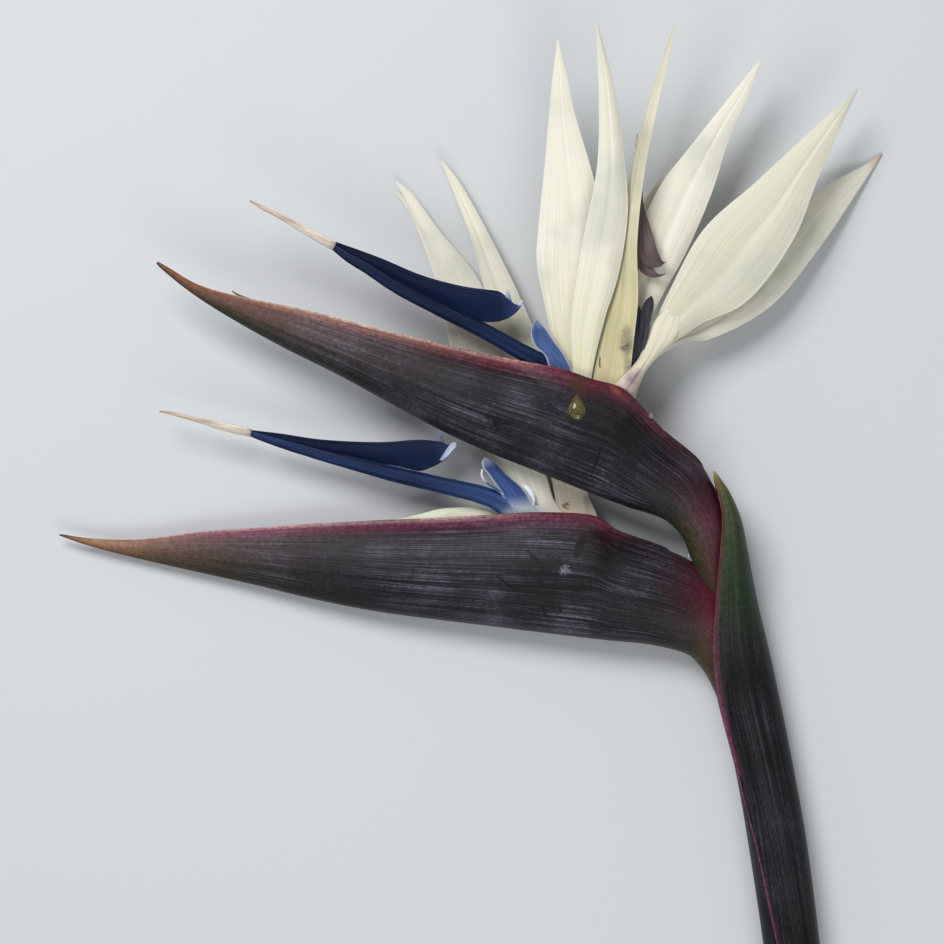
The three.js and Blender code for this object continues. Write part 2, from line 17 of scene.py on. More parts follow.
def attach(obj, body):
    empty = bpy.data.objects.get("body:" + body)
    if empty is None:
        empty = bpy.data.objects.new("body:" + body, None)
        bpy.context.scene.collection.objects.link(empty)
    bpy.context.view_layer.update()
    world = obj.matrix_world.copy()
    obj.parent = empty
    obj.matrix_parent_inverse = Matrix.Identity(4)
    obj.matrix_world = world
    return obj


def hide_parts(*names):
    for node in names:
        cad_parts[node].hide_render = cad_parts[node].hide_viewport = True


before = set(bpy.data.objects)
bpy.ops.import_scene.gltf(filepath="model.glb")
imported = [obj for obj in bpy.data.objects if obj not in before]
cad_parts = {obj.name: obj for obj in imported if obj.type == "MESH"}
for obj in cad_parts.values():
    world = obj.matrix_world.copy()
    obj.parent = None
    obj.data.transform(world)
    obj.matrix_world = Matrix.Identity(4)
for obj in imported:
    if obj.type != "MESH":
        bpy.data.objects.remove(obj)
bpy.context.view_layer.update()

LOG = logging.getLogger("bird_of_paradise")
MM = 0.001
# Corners closer than this are one corner.
WELD = 0.003 * MM
# The share of a form's length over which its direction is read, to both sides.
STEP = 0.02
# The share of a section over which a keel or a fold is rounded.
FOLD = 0.04
# How far light goes into a sepal or into flesh.
GLOW_DEPTH = 3.0 * MM
BODY = "root"
Point = tuple[float, float]
Point3 = tuple[float, float, float]
Faces = tuple[int, int]
Shape = Callable[[float, float], Vector]


def smooth_value(values: Sequence[float], share: float) -> float:
    """Read a smooth curve through evenly spaced values.

    Args:
        values: The values that the curve passes through.
        share: Where to read it, from 0 at the first value to 1 at the last.

    Returns:
        The curve's value there.
    """
    last = len(values) - 1
    place = min(max(share, 0.0), 1.0) * last
    i = min(int(place), last)
    w = place - i
    before, start = values[max(i - 1, 0)], values[i]
    end, after = values[min(i + 1, last)], values[min(i + 2, last)]
    rise, fall = (end - before) / 2, (after - start) / 2
    cubic = 2 * start - 2 * end + rise + fall
    square = -3 * start + 3 * end - 2 * rise - fall
    return ((cubic * w + square) * w + rise) * w + start


def ease(low: float, high: float, value: float) -> float:
    """Rise smoothly from 0 at low to 1 at high, or fall where low is the larger."""
    share = min(max((value - low) / (high - low), 0.0), 1.0)
    return share * share * (3 - 2 * share)


class Outline:
    """A smooth outline through a few points, read by its share of length."""

    SAMPLES = 20

    def __init__(self, points: Sequence[Point], heights: Sequence[float]) -> None:
        """Sample the outline once.

        Args:
            points: Its points in the plane, in millimetres.
            heights: Heights over the surface at even shares of its length.
        """
        spots = [Vector((x, y, 0.0)) for x, y in points]
        ends = [2 * spots[0] - spots[1], *spots, 2 * spots[-1] - spots[-2]]
        self.heights = heights
        self.dense = [spots[0]]
        for i in range(len(spots) - 1):
            for k in range(1, self.SAMPLES + 1):
                self.dense.append(self._between(ends[i:i + 4], k / self.SAMPLES))
        self.lengths = [0.0]
        for a, b in zip(self.dense, self.dense[1:]):
            self.lengths.append(self.lengths[-1] + (b - a).length)

    @staticmethod
    def _between(p: Sequence[Vector], w: float) -> Vector:
        """Read the stretch between the second and third of four points, knotted by distance.

        Args:
            p: The four points.
            w: Share of the way through the stretch.

        Returns:
            The point there.
        """
        t = [0.0]
        for a, b in zip(p, p[1:]):
            t.append(t[-1] + max((b - a).length, 1e-6) ** 0.5)
        x = t[1] + (t[2] - t[1]) * w
        first = [p[k].lerp(p[k + 1], (x - t[k]) / (t[k + 1] - t[k])) for k in range(3)]
        second = [first[k].lerp(first[k + 1], (x - t[k]) / (t[k + 2] - t[k])) for k in range(2)]
        return second[0].lerp(second[1], (x - t[1]) / (t[2] - t[1]))

    def at(self, share: float) -> Vector:
        """Give the outline's point at a share of its length.

        Args:
            share: From 0 at the first point to 1 at the last.

        Returns:
            The point in millimetres.
        """
        target = min(max(share, 0.0), 1.0) * self.lengths[-1]
        low, high = 0, len(self.lengths) - 1
        while high - low > 1:
            middle = (low + high) // 2
            low, high = (middle, high) if self.lengths[middle] <= target else (low, middle)
        span = max(self.lengths[high] - self.lengths[low], 1e-9)
        point = self.dense[low].lerp(self.dense[high], (target - self.lengths[low]) / span)
        point.z = smooth_value(self.heights, share)
        return point


@dataclass(frozen=True)
class Rib:
    """One cross-section of a spathe, stalk or sheath, in millimetres."""

    low: Point
    up: Point
    depth: float
    z: float
    low_half: float = 0.4
    up_half: float = 0.4


def ribs_of(*rows: Sequence) -> tuple[Rib, ...]:
    """Make the ribs of one body from plain rows."""
    return tuple(Rib(*row) for row in rows)


LOWER_SPATHE = ribs_of(
    ((-10, -31.5), (17.6, -25), 12.2, 14, 1, 1), ((-15, -20.5), (9, 3), 13, 15.3, 1, 1),
    ((-20, -13), (-4, 21), 13.3, 15.5, 0.8, 1), ((-27, -7), (-22, 38), 15, 15.5, 0.6, 1),
    ((-45, -2.5), (-40, 46.5), 16.6, 15.7, 0.5, 1.5), ((-65, -0.5), (-61, 54), 17, 16, 0.5, 5.5),
    ((-78, 1), (-74, 61.5), 17, 16, 0.5, 10.2), ((-103, 4), (-100, 63), 16.5, 15.5, 0.5, 10.2),
    ((-123, 6.5), (-121, 62), 15.5, 15, 0.5, 9.6), ((-152, 10), (-150, 60), 13.5, 13.5, 0.5, 2.5),
    ((-182, 14), (-180, 59), 11.5, 11.8, 0.5, 1.2), ((-212, 19.8), (-210, 57.5), 9.5, 10, 0.5, 1),
    ((-242, 27), (-240, 55.5), 7.3, 8.2, 0.5, 0.8), ((-272, 33.7), (-270, 53.5), 5, 7, 0.5, 0.6),
    ((-302, 40.5), (-301, 49.8), 2.8, 6.5, 0.4, 0.5), ((-326, 46.7), (-325, 50.3), 1.5, 7, 0.4, 0.4),
    ((-341, 51.9), (-341.5, 52.7), 0.5, 7.5, 0.35, 0.35),
)
UPPER_SPATHE = ribs_of(
    ((-17, 20), (-1, 14), 8, 16, 1, 1), ((-23.5, 38.5), (-4, 35), 9, 20, 1, 1),
    ((-29, 51.5), (-6.5, 55), 9.5, 25, 0.8, 1), ((-37, 59.5), (-11, 70), 10.5, 29, 0.6, 1),
    ((-45, 63), (-20, 88), 12, 32, 0.5, 1), ((-55, 66), (-40, 105), 13.5, 34, 0.5, 6),
    ((-66, 70), (-52, 118), 14, 34, 0.5, 10.6), ((-75, 73.5), (-61, 125.5), 14, 34, 0.5, 11),
    ((-90, 79.5), (-75, 129.5), 14, 34, 0.5, 11), ((-107.5, 86.5), (-90, 134.5), 14, 34, 0.5, 10.8),
    ((-125, 93.5), (-107.5, 138), 13.5, 34, 0.5, 7.5), ((-145, 102.5), (-127.5, 142), 13, 34, 0.5, 2),
    ((-170, 115.5), (-152.5, 148), 11.5, 33.5, 0.5, 1.2), ((-200, 132), (-185, 156), 9, 33, 0.5, 0.9),
    ((-230, 147), (-217.5, 164.5), 6.8, 32, 0.5, 0.7), ((-257.5, 162.5), (-247.5, 170.8), 4.2, 31, 0.4, 0.5),
    ((-275, 174), (-270, 177), 2.2, 30, 0.4, 0.5), ((-287.5, 184), (-286, 186), 1, 29.5, 0.35, 0.4),
    ((-291.6, 188), (-291, 189), 0.4, 29.3, 0.3, 0.3),
)
STALK = ribs_of(
    ((15, -180), (41.2, -180), 12.2, 14, 1, 1), ((12, -152), (38.7, -152), 12.2, 14, 1, 1),
    ((5, -105), (32.7, -105), 12.2, 14, 1, 1), ((-1.5, -67.5), (26.2, -67.5), 12.2, 14, 1, 1),
    ((-9.7, -32), (17.9, -25.5), 12.2, 14, 1, 1),
)
SHEATH = ribs_of(
    ((25, -180), (43, -180), 14, 14, 13.4, 1), ((18.5, -152), (40.5, -152), 14, 14, 11.7, 1),
    ((8.5, -105), (34.5, -105), 14, 14, 8.3, 1), ((-1, -67.5), (28, -67.5), 14, 14, 5, 1),
    ((-10.5, -30), (20.5, -30), 15.4, 14.4, 11, 1), ((-13.5, -5), (15, -5), 16.8, 14.8, 15.2, 1),
    ((-12, 20), (9, 20), 16.8, 16.4, 15, 1), ((-10, 45), (4, 45), 14.5, 22.5, 13.8, 1),
    ((-9, 60), (0.75, 60), 12.5, 27, 11.5, 1), ((-10.75, 72.5), (-4.5, 72.5), 9, 31, 8.4, 0.8),
    ((-12.75, 80), (-9.5, 80), 5, 34.5, 4.6, 0.6), ((-13.8, 84.5), (-13.1, 84.5), 1, 37, 0.9, 0.5),
)


@dataclass(frozen=True)
class Section:
    """A body's cross-section anywhere along it, in millimetres."""

    low: Vector
    up: Vector
    depth: float
    z: float
    low_half: float
    up_half: float

    WIDEST = -0.05

    @classmethod
    def of(cls, ribs: Sequence[Rib], share: float) -> "Section":
        """Read a body between its ribs.

        Args:
            ribs: The body's ribs from its foot to its tip.
            share: Share of the way along it.

        Returns:
            The section there.
        """
        def pick(read: Callable[[Rib], float]) -> float:
            """Smooth one of the ribs' sizes."""
            return smooth_value([read(r) for r in ribs], share)

        return cls(
            Vector((pick(lambda r: r.low[0]), pick(lambda r: r.low[1]), 0)),
            Vector((pick(lambda r: r.up[0]), pick(lambda r: r.up[1]), 0)),
            pick(lambda r: r.depth), pick(lambda r: r.z),
            pick(lambda r: r.low_half), pick(lambda r: r.up_half),
        )

    def half_depth(self, u: float) -> float:
        """Give half the thickness at u, from -1 at the low outline to 1 at the up outline."""
        return max(self.round_half(u), self.low_half if u < self.WIDEST else self.up_half)

    def round_half(self, u: float) -> float:
        """Give half the thickness at u of the plain round section, which closes at -1 and 1."""
        reach = abs(u - self.WIDEST) / (1 + self.WIDEST if u < self.WIDEST else 1 - self.WIDEST)
        return self.depth * math.sqrt(max(0.0, 1 - min(1.0, reach) ** 2))

    def at(self, u: float, rise: float) -> Vector:
        """Give the point at u across the section and rise over its centre height."""
        spot = self.low.lerp(self.up, (u + 1) / 2)
        return Vector((spot.x, spot.y, self.z + rise))


@dataclass(frozen=True)
class Blade:
    """A sepal or petal between two outlines, in millimetres."""

    left: Sequence[Point]
    right: Sequence[Point]
    left_z: Sequence[float]
    right_z: Sequence[float]
    bulge: float
    fold: float = 0.0
    fold_at: float = 0.5
    wave: float = 0.35
    ridge: float = 0.12


SEPALS: dict[str, Blade] = {
    "lower_sepal_1": Blade(
        ((-113, 50), (-114, 60), (-117, 82.5), (-127, 94), (-145, 147), (-152, 178.5), (-165, 213),
         (-173, 225)),
        ((-98.5, 50), (-98, 60), (-100, 80), (-117.5, 130), (-135, 170), (-150, 200), (-162.5, 217.5),
         (-172.5, 225.4)),
        (10.5, 8, 6, 1.2), (10.5, 8.5, 6, 1.2), 1.5, fold=0.5),
    "lower_sepal_2": Blade(
        ((-112, 50), (-113, 60), (-116, 85), (-130, 120), (-144, 160), (-155, 195), (-166.5, 218.5),
         (-172.7, 230.3)),
        ((-88, 50), (-88.5, 60), (-93.3, 71.5), (-96.3, 81), (-110, 120), (-129.5, 178.5), (-150, 205),
         (-165, 225), (-172.3, 230.7)),
        (13.2, 11, 9.5, 5), (13.2, 11, 9.5, 5), 2, fold=0.6, fold_at=0.55),
    "lower_sepal_3": Blade(
        ((-93, 50), (-92, 60), (-92.5, 72), (-100, 100), (-115, 135), (-125, 165), (-133.5, 197.5),
         (-145, 228.5), (-150.7, 241.9)),
        ((-73, 50), (-71, 60), (-76, 73), (-82.5, 100), (-103, 156), (-125, 202.5), (-142, 232.5),
         (-150.2, 242.2)),
        (14.5, 13.5, 12, 7), (16, 14.5, 13, 7), 2, fold=1.4, fold_at=0.3),
    "upper_sepal_1": Blade(
        ((-92, 124), (-94.5, 151), (-97, 164), (-101.75, 189), (-101, 205), (-97.5, 240), (-94, 280),
         (-91.6, 299)),
        ((-83, 119), (-75, 155), (-69, 185), (-68, 205), (-73, 229), (-83.5, 265), (-86.5, 280),
         (-90.9, 299.2)),
        (33, 33, 36, 44), (33.5, 37, 39, 44), 2, fold=0.7, fold_at=0.5),
    "upper_sepal_2": Blade(
        ((-83.5, 119.5), (-84, 137.5), (-85, 155), (-79.5, 195), (-72, 235), (-71, 265), (-72.9, 306.8)),
        ((-76, 116), (-74, 134), (-68, 160), (-61, 182.5), (-56.5, 212.5), (-57.5, 232.5), (-63.5, 275),
         (-72.2, 307)),
        (39.4, 42, 48, 60), (39.4, 42, 46, 60), 2.5, fold=0.6, fold_at=0.45),
    "upper_sepal_3": Blade(
        ((-74.5, 113), (-73.6, 130), (-70.8, 146), (-66, 170), (-60, 200), (-56.5, 225), (-52, 246),
         (-42.5, 280), (-34, 305.4)),
        ((-58, 107), (-54, 145), (-51.5, 170), (-52, 197.5), (-48, 235), (-42, 265), (-38, 282.5),
         (-33.2, 305.7)),
        (38.8, 36, 38, 52), (39.4, 45, 49, 53), 1, fold=0.6, fold_at=0.4),
    "upper_sepal_4": Blade(
        ((-67, 111), (-64, 145), (-60, 170), (-54, 195), (-40, 227), (-25, 246.5), (-4.5, 272.5),
         (9.6, 289.9)),
        ((-60, 107.5), (-50, 145), (-40, 170), (-27.5, 192.5), (-14.5, 222.5), (-4.5, 253.5), (4, 271.5),
         (10.3, 289.5)),
        (31.5, 29, 29, 34), (31.5, 28, 28, 34), 1.5, fold=0.8, fold_at=0.5),
    "upper_sepal_5": Blade(
        ((-68.5, 111), (-61, 155), (-56, 190), (-51, 213.5), (-45, 224), (-34, 237)),
        ((-62, 107.5), (-53, 155), (-45, 190), (-40, 212.5), (-36.5, 225), (-33.2, 237)),
        (27.4, 25, 22.5, 23), (27.4, 25, 22.5, 23), 1, fold=0.3),
    "upper_sepal_6": Blade(
        ((-65, 110), (-55, 140), (-45, 155), (-36.5, 172.5), (-18.5, 205), (8, 229), (30, 249.5),
         (58, 275.3)),
        ((-57.5, 106.5), (-52.5, 129), (-42.5, 141), (-20, 157.5), (2.5, 168.5), (26.5, 200), (39, 231),
         (58.6, 274.9)),
        (34, 33.5, 33, 30), (34, 33, 32, 30), 2.5, fold=0.9, fold_at=0.5),
    "upper_sepal_7": Blade(
        ((-64, 109.5), (-50, 137.5), (-30, 155), (-5, 175), (17.5, 200), (42.5, 226.5), (65, 239.5),
         (72.2, 244.7)),
        ((-57, 106), (-46, 136), (-30, 148), (-15, 150.5), (15, 166.5), (37.5, 192.5), (60, 225),
         (72.7, 244.2)),
        (29.4, 24, 15, 0.9), (29.4, 23.5, 13, 0.9), 2, fold=0.5),
}
SMALL_PETALS: dict[str, tuple[Blade, ...]] = {
    "upper_small_petal": (
        Blade(
            ((-94, 122), (-97.5, 141.5), (-103, 147), (-104.7, 152.5), (-104, 157), (-102.2, 159.3)),
            ((-84, 120), (-83.5, 132), (-87.5, 141.5), (-92.5, 148.5), (-97.5, 155.5), (-101.5, 159.5)),
            (39.3, 41.6, 45), (39.3, 41.6, 44), -0.9, fold=0.9, fold_at=0.42, wave=0.3, ridge=0.1),
    ),
    "lower_small_petal": (
        Blade(
            ((-118.5, 50), (-118.5, 62.5), (-119, 72), (-123, 78.5), (-126, 83), (-128.4, 86), (-129, 89.5),
             (-127.5, 91.5)),
            ((-96, 50), (-97.5, 64), (-103, 68.5), (-108, 75.5), (-116.5, 83), (-121.5, 88.5),
             (-124.5, 90.75), (-127, 91.75)),
            (20.5, 23.5, 25.5), (20.5, 22.5, 24.5), 1.6, fold=0.5, fold_at=0.4, wave=0.3, ridge=0.15),
        Blade(
            ((-129.4, 85.5), (-129.7, 82.5), (-128.4, 79.5), (-125.8, 77.2), (-122.3, 75), (-118.6, 72.2)),
            ((-128.4, 85.5), (-128.6, 82.7), (-127.5, 80.4), (-125, 78.3), (-121.7, 76), (-118, 73.2)),
            (25, 25.5, 25), (25, 25.5, 25), 0.2, wave=0.2, ridge=0.1),
    ),
    "withered_small_petal": (
        Blade(
            ((-60, 112), (-60.5, 135), (-60.5, 144), (-59.5, 149.5), (-56, 154.5), (-53, 161.5),
             (-51, 166.5)),
            ((-55, 112), (-52, 135), (-51, 145), (-50, 152.5), (-50, 160), (-49.75, 164), (-50.5, 166.5)),
            (36.4, 38.5, 39.5), (36.4, 37.5, 38), 0.6, wave=0.3, ridge=0.2),
        Blade(
            ((-59, 112), (-54.5, 137.5), (-53, 142.5), (-51.5, 149), (-50.5, 157.5), (-49.75, 165),
             (-47.5, 169.6), (-45, 171.5)),
            ((-56, 112), (-51, 137.5), (-49, 142.5), (-46.5, 151), (-45, 160), (-43.5, 167), (-43.75, 170),
             (-44.6, 171.7)),
            (36.8, 38, 39, 40), (36.8, 38, 39, 39.5), -0.9, fold=0.4, wave=0.3, ridge=0.3),
    ),
}
FRINGE = Blade(
    ((-103.4, 66.6), (-104, 70), (-106, 73.6), (-108.6, 77.2)),
    ((-102.8, 66.8), (-102.4, 70.4), (-103.6, 74.8), (-107.4, 78)),
    (22.6, 24, 24.6), (23, 24.4, 24.8), 0.3, wave=1.2, ridge=0.4)
DRY_SPUR = Blade(
    ((-243, 170.2), (-247.5, 171.7), (-251, 173.1), (-253.6, 174.5)),
    ((-243, 168.4), (-248, 170), (-251.6, 172.2), (-254, 174.2)), (31, 31.6), (31, 31.6), 0.2, wave=0.3,
    ridge=0.1)
BUD_SEPAL = Blade(
    ((-124, 57), (-140, 56.5), (-160, 56.5), (-178, 58.6)),
    ((-123, 64), (-130, 66), (-140, 66.3), (-150, 65.5), (-160, 63), (-170, 60.7), (-178, 59.4)),
    (15, 13, 12), (15, 13.5, 12), 0.6, wave=0.1, ridge=0.1)
CLAWS: dict[str, Blade] = {
    "upper_claw": Blade(
        ((-70, 113), (-66, 122), (-61, 129), (-55.5, 135), (-50.5, 141.5), (-48, 149), (-43.5, 159),
         (-34, 168)),
        ((-54, 113), (-52.6, 124), (-50, 131), (-45, 137.7), (-39.6, 143.4), (-34, 149), (-30, 157),
         (-31.5, 167)),
        (38, 41.2, 42.6, 40.6, 37.8, 36.2, 35, 34.4), (35, 38, 38.2, 37.2, 36, 35.4, 34.8, 34.4), 1.1,
        fold=0.45, fold_at=0.5, ridge=0.5),
    "lower_claw": Blade(
        ((-117, 52), (-117, 62), (-116, 72), (-119, 82), (-124, 94)),
        ((-84, 52), (-86.5, 60), (-90.5, 66.5), (-93.4, 71), (-96, 80), (-100, 90), (-105, 99)),
        (17, 17.5, 16.5, 15), (16.5, 16.5, 16, 15), 1.5, ridge=0.2),
}


@dataclass(frozen=True)
class Arrow:
    """An arrow petal: its shaft's points with radii, its front and back wing, and its pale barbs."""

    shaft: Sequence[tuple[float, float, float, float]]
    wings: Sequence[Blade]
    barbs: Sequence[Blade] = ()


ARROWS: dict[str, Arrow] = {
    "upper_arrow": Arrow(
        ((-88, 120, 36.4, 2.6), (-93, 135, 36.8, 4), (-102, 140, 37.4, 4.1), (-110, 144.2, 38, 3.9),
         (-128.5, 154.5, 39.2, 3.7), (-140, 160.2, 39.5, 3.7), (-150, 165.2, 39.6, 3.6),
         (-170, 175.5, 39.8, 3.3), (-185, 185, 39.6, 2.9), (-195, 190.7, 39.3, 2.4), (-203, 196.3, 39, 1.6)),
        (
            Blade(
                ((-202.5, 198.5), (-190, 194.5), (-180, 190), (-170, 185.5), (-160, 181.5), (-150, 178.5),
                 (-140, 176), (-130, 174.5), (-122.5, 172.5), (-116.5, 170.5), (-112.5, 167.5),
                 (-109.5, 166.75)),
                ((-203.5, 195.5), (-190, 188.5), (-170, 178), (-150, 168.5), (-135, 162), (-129, 159),
                 (-122.5, 158.6), (-116, 160.5), (-111.5, 163.75), (-109.5, 166.25)),
                (39, 40.5, 42, 42.5), (39, 39.8, 40.5, 42), 1.4, wave=0.5, ridge=0.2),
            Blade(
                ((-202, 198.75), (-180, 190.8), (-160, 182.4), (-140, 176.9), (-127.5, 175), (-120.5, 174),
                 (-117.5, 172), (-114.4, 169.9)),
                ((-203, 196), (-180, 183.5), (-160, 173.5), (-140, 164.5), (-129, 160), (-121.5, 161),
                 (-117, 165), (-114.2, 169.4)),
                (39, 38, 37, 36.5), (39, 38.5, 38, 37), -1.4, wave=0.5, ridge=0.2),
        ),
        (
            Blade(((-117.9, 169.5), (-117.2, 172), (-116.9, 174), (-116.5, 175.4)),
                  ((-114.2, 169.5), (-114.8, 171.8), (-115.4, 173.8), (-116.2, 175.4)),
                  (37, 37.4), (37, 37.4), 0.3, ridge=0.0),
            Blade(((-112.5, 167.5), (-110.8, 168.4), (-109.8, 169), (-108.9, 169.6)),
                  ((-110.8, 165.3), (-109.6, 166.4), (-108.8, 167.8), (-108.5, 169.3)),
                  (42, 42.3), (42, 42.3), 0.3, ridge=0.0),
        )),
    "lower_arrow": Arrow(
        ((-110, 50, 20, 5), (-114, 62, 20.5, 4.9), (-120, 68.5, 21, 4.6), (-130, 72.8, 21.5, 4.3),
         (-150, 77.6, 22, 3.9), (-170, 82.2, 22, 3.8), (-190, 87.5, 22, 3.4), (-210, 93, 22, 3),
         (-230, 98.7, 21.6, 2.4), (-245.4, 103.6, 21, 1.5)),
        (
            Blade(
                ((-246.5, 105), (-230, 103), (-210, 100), (-195, 98.75), (-180, 98.5), (-170, 99),
                 (-160, 99.75), (-150, 99.25), (-145.5, 97.5), (-142.2, 98)),
                ((-247, 103), (-230, 99), (-210, 94.5), (-190, 90.5), (-170, 86.5), (-160, 84.5), (-155, 86),
                 (-149.5, 88.75), (-145.5, 92), (-141.9, 97)),
                (21, 22.5, 24, 24.5), (21, 22, 23, 24.5), 1.3, wave=0.5, ridge=0.2),
            Blade(
                ((-246, 105.2), (-230, 103.3), (-210, 100.4), (-180, 99), (-160, 100.2), (-152, 99.4),
                 (-148, 97.5)),
                ((-246.5, 103.4), (-210, 94.5), (-180, 89), (-160, 85), (-154, 88), (-150, 92),
                 (-147.5, 96.5)),
                (21, 20.5, 19.5, 19), (21, 21, 20, 19), -1.3, wave=0.5, ridge=0.2),
        ),
        (
            Blade(((-153.2, 97.5), (-151.75, 101.5), (-151, 104.5), (-150.65, 106)),
                  ((-147.8, 97.5), (-148.5, 101), (-149.25, 104), (-150.35, 106)),
                  (19.4, 20), (19.4, 20), 0.3, ridge=0.0),
            Blade(
                ((-150.2, 90), (-148, 93.5), (-145.8, 96.75), (-144, 98.7), (-142.8, 99.2)),
                ((-149, 89.5), (-146, 92), (-143.5, 95), (-141.75, 97), (-141.9, 98.7)),
                (25, 25.6, 25.6), (25, 25, 25.2), -0.7, wave=0.2, ridge=0.1),
        )),
    "withered_arrow": Arrow(
        ((-66, 108, 36.2, 0.9), (-63, 130, 36.3, 1), (-59.5, 152, 36.4, 1.1), (-55, 175, 36.4, 1.4),
         (-51.5, 192, 36.4, 1.5), (-50, 220, 36, 1.1), (-51.8, 240, 35.6, 0.6)),
        (
            Blade(
                ((-51.25, 229.5), (-51.5, 212.5), (-51.35, 200), (-51, 191), (-48, 187), (-44, 185.75),
                 (-40, 186.5), (-37.25, 188.7)),
                ((-50.5, 229.5), (-48.5, 217.5), (-46, 208.5), (-43, 198.5), (-40.5, 191.5), (-39, 189),
                 (-38, 188.5), (-37, 189.25)),
                (35.8, 37.4, 38.2, 38), (35.8, 37, 38.4, 38), 0.5, wave=0.4, ridge=0.3),
            Blade(
                ((-51.5, 202), (-51.5, 192.5), (-51.25, 186), (-49.5, 183.5), (-46.5, 181.5), (-42.5, 180.8),
                 (-39.5, 181.6), (-37.5, 182.6)),
                ((-49.5, 202), (-48, 194), (-46, 189), (-44.5, 186.5), (-43.5, 185), (-42, 183.25),
                 (-40, 182.5), (-37.5, 183)),
                (36, 36.4, 36.8), (36, 36.4, 36.8), 0.5, wave=0.4, ridge=0.3),
        )),
}
STIGMAS: dict[str, Sequence[tuple[float, float, float, float]]] = {
    "upper_stigma": ((-202.5, 196.2, 39, 1.9), (-210, 200.5, 39, 2), (-220, 206, 39, 1.7),
                     (-230, 211.5, 39, 1.2), (-239, 216, 39, 0.9), (-244.5, 219, 39, 0.4)),
    "lower_stigma": ((-244.6, 103.6, 21, 1.8), (-252, 105.3, 21, 2), (-262, 107.6, 21, 1.7),
                     (-272, 110.3, 21, 1.1), (-282.5, 113, 21, 0.9), (-290.5, 114.5, 21, 0.4)),
    "withered_stigma": ((-51.9, 240.9, 35.5, 0.6), (-52.5, 246, 35.3, 0.8), (-51.5, 252.5, 35, 0.4)),
}


def colour(code: str) -> tuple[float, float, float, float]:
    """Turn an sRGB hex colour to linear.

    Args:
        code: Six hex digits, such as "f1ecda".

    Returns:
        Red, green, blue and alpha for a shader socket.
    """
    parts = [int(code[i:i + 2], 16) / 255 for i in (0, 2, 4)]
    linear = [p / 12.92 if p <= 0.04045 else ((p + 0.055) / 1.055) ** 2.4 for p in parts]
    return (*linear, 1.0)


Stops = Sequence[tuple[float, str]]
Tree = bpy.types.NodeTree
Socket = bpy.types.NodeSocket


def add_node(tree: Tree, kind: str, settings: dict | None = None, inputs: dict | None = None,
             stops: Stops = ()) -> bpy.types.Node:
    """Add a node with its settings, values and links.

    Args:
        tree: The material's or world's node tree.
        kind: The node's type.
        settings: Values of the node's own properties.
        inputs: For each input's name or number, a value, or the socket or node that feeds it.
        stops: Places and colours of a colour ramp.

    Returns:
        The new node.
    """
    node = tree.nodes.new(kind)
    for key, value in (settings or {}).items():
        setattr(node, key, value)
    for key, value in (inputs or {}).items():
        if isinstance(value, bpy.types.Node):
            value = value.outputs[0]
        if isinstance(value, Socket):
            tree.links.new(value, node.inputs[key])
        else:
            node.inputs[key].default_value = value
    if stops:
        elements = node.color_ramp.elements
        while len(elements) < len(stops):
            elements.new(0.5)
        for element, (place, code) in zip(elements, stops):
            element.position, element.color = place, colour(code)
    return node


def new_finish(name: str) -> tuple[bpy.types.Material, Tree, bpy.types.Node]:
    """Start a node material.

    Args:
        name: The material's name.

    Returns:
        The material, its node tree and its shader.
    """
    material = bpy.data.materials.new(name)
    material.use_nodes = True
    return material, material.node_tree, material.node_tree.nodes["Principled BSDF"]


def grains(size: float) -> float:
    """Give the noise scale for grains of a size in millimetres, on coordinates in metres."""
    return 1 / (size * MM)


def streaks(tree: Tree, across: float, along: float, detail: float, seed: float = 0.0) -> Socket:
    """Draw long streaks that follow a piece's own map from its foot to its tip.

    Args:
        tree: The material's node tree.
        across: How many streaks fit across the map.
        along: How many times they change along it.
        detail: How fine their finest grain is.
        seed: Shifts the pattern.

    Returns:
        The streaks' strength, mostly from 0.3 to 0.7.
    """
    place = add_node(tree, "ShaderNodeUVMap", {"uv_map": "UVMap"})
    mapped = add_node(tree, "ShaderNodeMapping", inputs={
        0: place, "Location": (seed, seed, 0.0), "Scale": (across, along, 1.0)})
    return add_node(tree, "ShaderNodeTexNoise", inputs={
        "Vector": mapped, "Scale": 1.0, "Detail": detail, "Roughness": 0.6}).outputs[0]


@dataclass(frozen=True)
class Mark:
    """A stain, scuff or scar on a skin, or a patch or line of painted shade, with its place and the size
    of its mottling in millimetres.

    Its mottled strength runs from 0 to about 0.7: the skin shows below start, the mark above end.
    """

    centre: Point3
    radii: Point3
    turn: float
    code: str
    grain: float = 4.5
    start: float = 0.36
    end: float = 0.46

    def laid_on(self, tree: Tree, body: Socket) -> Socket:
        """Lay the mark on a colour, mottled and fading outwards.

        Args:
            tree: The material's node tree.
            body: The colour under the mark.

        Returns:
            The colour with the mark on it.
        """
        spot = add_node(tree, "ShaderNodeTexCoord").outputs["Object"]
        apart = add_node(tree, "ShaderNodeMapping", {"vector_type": "TEXTURE"}, {
            "Vector": spot, "Location": [c * MM for c in self.centre],
            "Rotation": (0, 0, math.radians(self.turn)),
            "Scale": [r * MM for r in self.radii]})
        apart = add_node(tree, "ShaderNodeVectorMath", {"operation": "LENGTH"}, {0: apart})
        near = add_node(tree, "ShaderNodeMapRange", {"interpolation_type": "SMOOTHSTEP"}, {
            0: apart.outputs["Value"], 1: 1.0, 2: 0.0, 3: 0.0, 4: 1.0})
        torn = add_node(tree, "ShaderNodeTexNoise", inputs={
            "Vector": spot, "Scale": grains(self.grain), "Detail": 5.0, "Roughness": 0.7, "Distortion": 0.8})
        strength = add_node(tree, "ShaderNodeMath", {"operation": "MULTIPLY"}, {
            0: near, 1: torn})
        share = add_node(tree, "ShaderNodeMapRange", inputs={
            0: strength, 1: self.start, 2: self.end})
        return add_node(tree, "ShaderNodeMix", {"data_type": "RGBA"}, {
            0: share, 6: body, 7: colour(self.code)}).outputs[2]


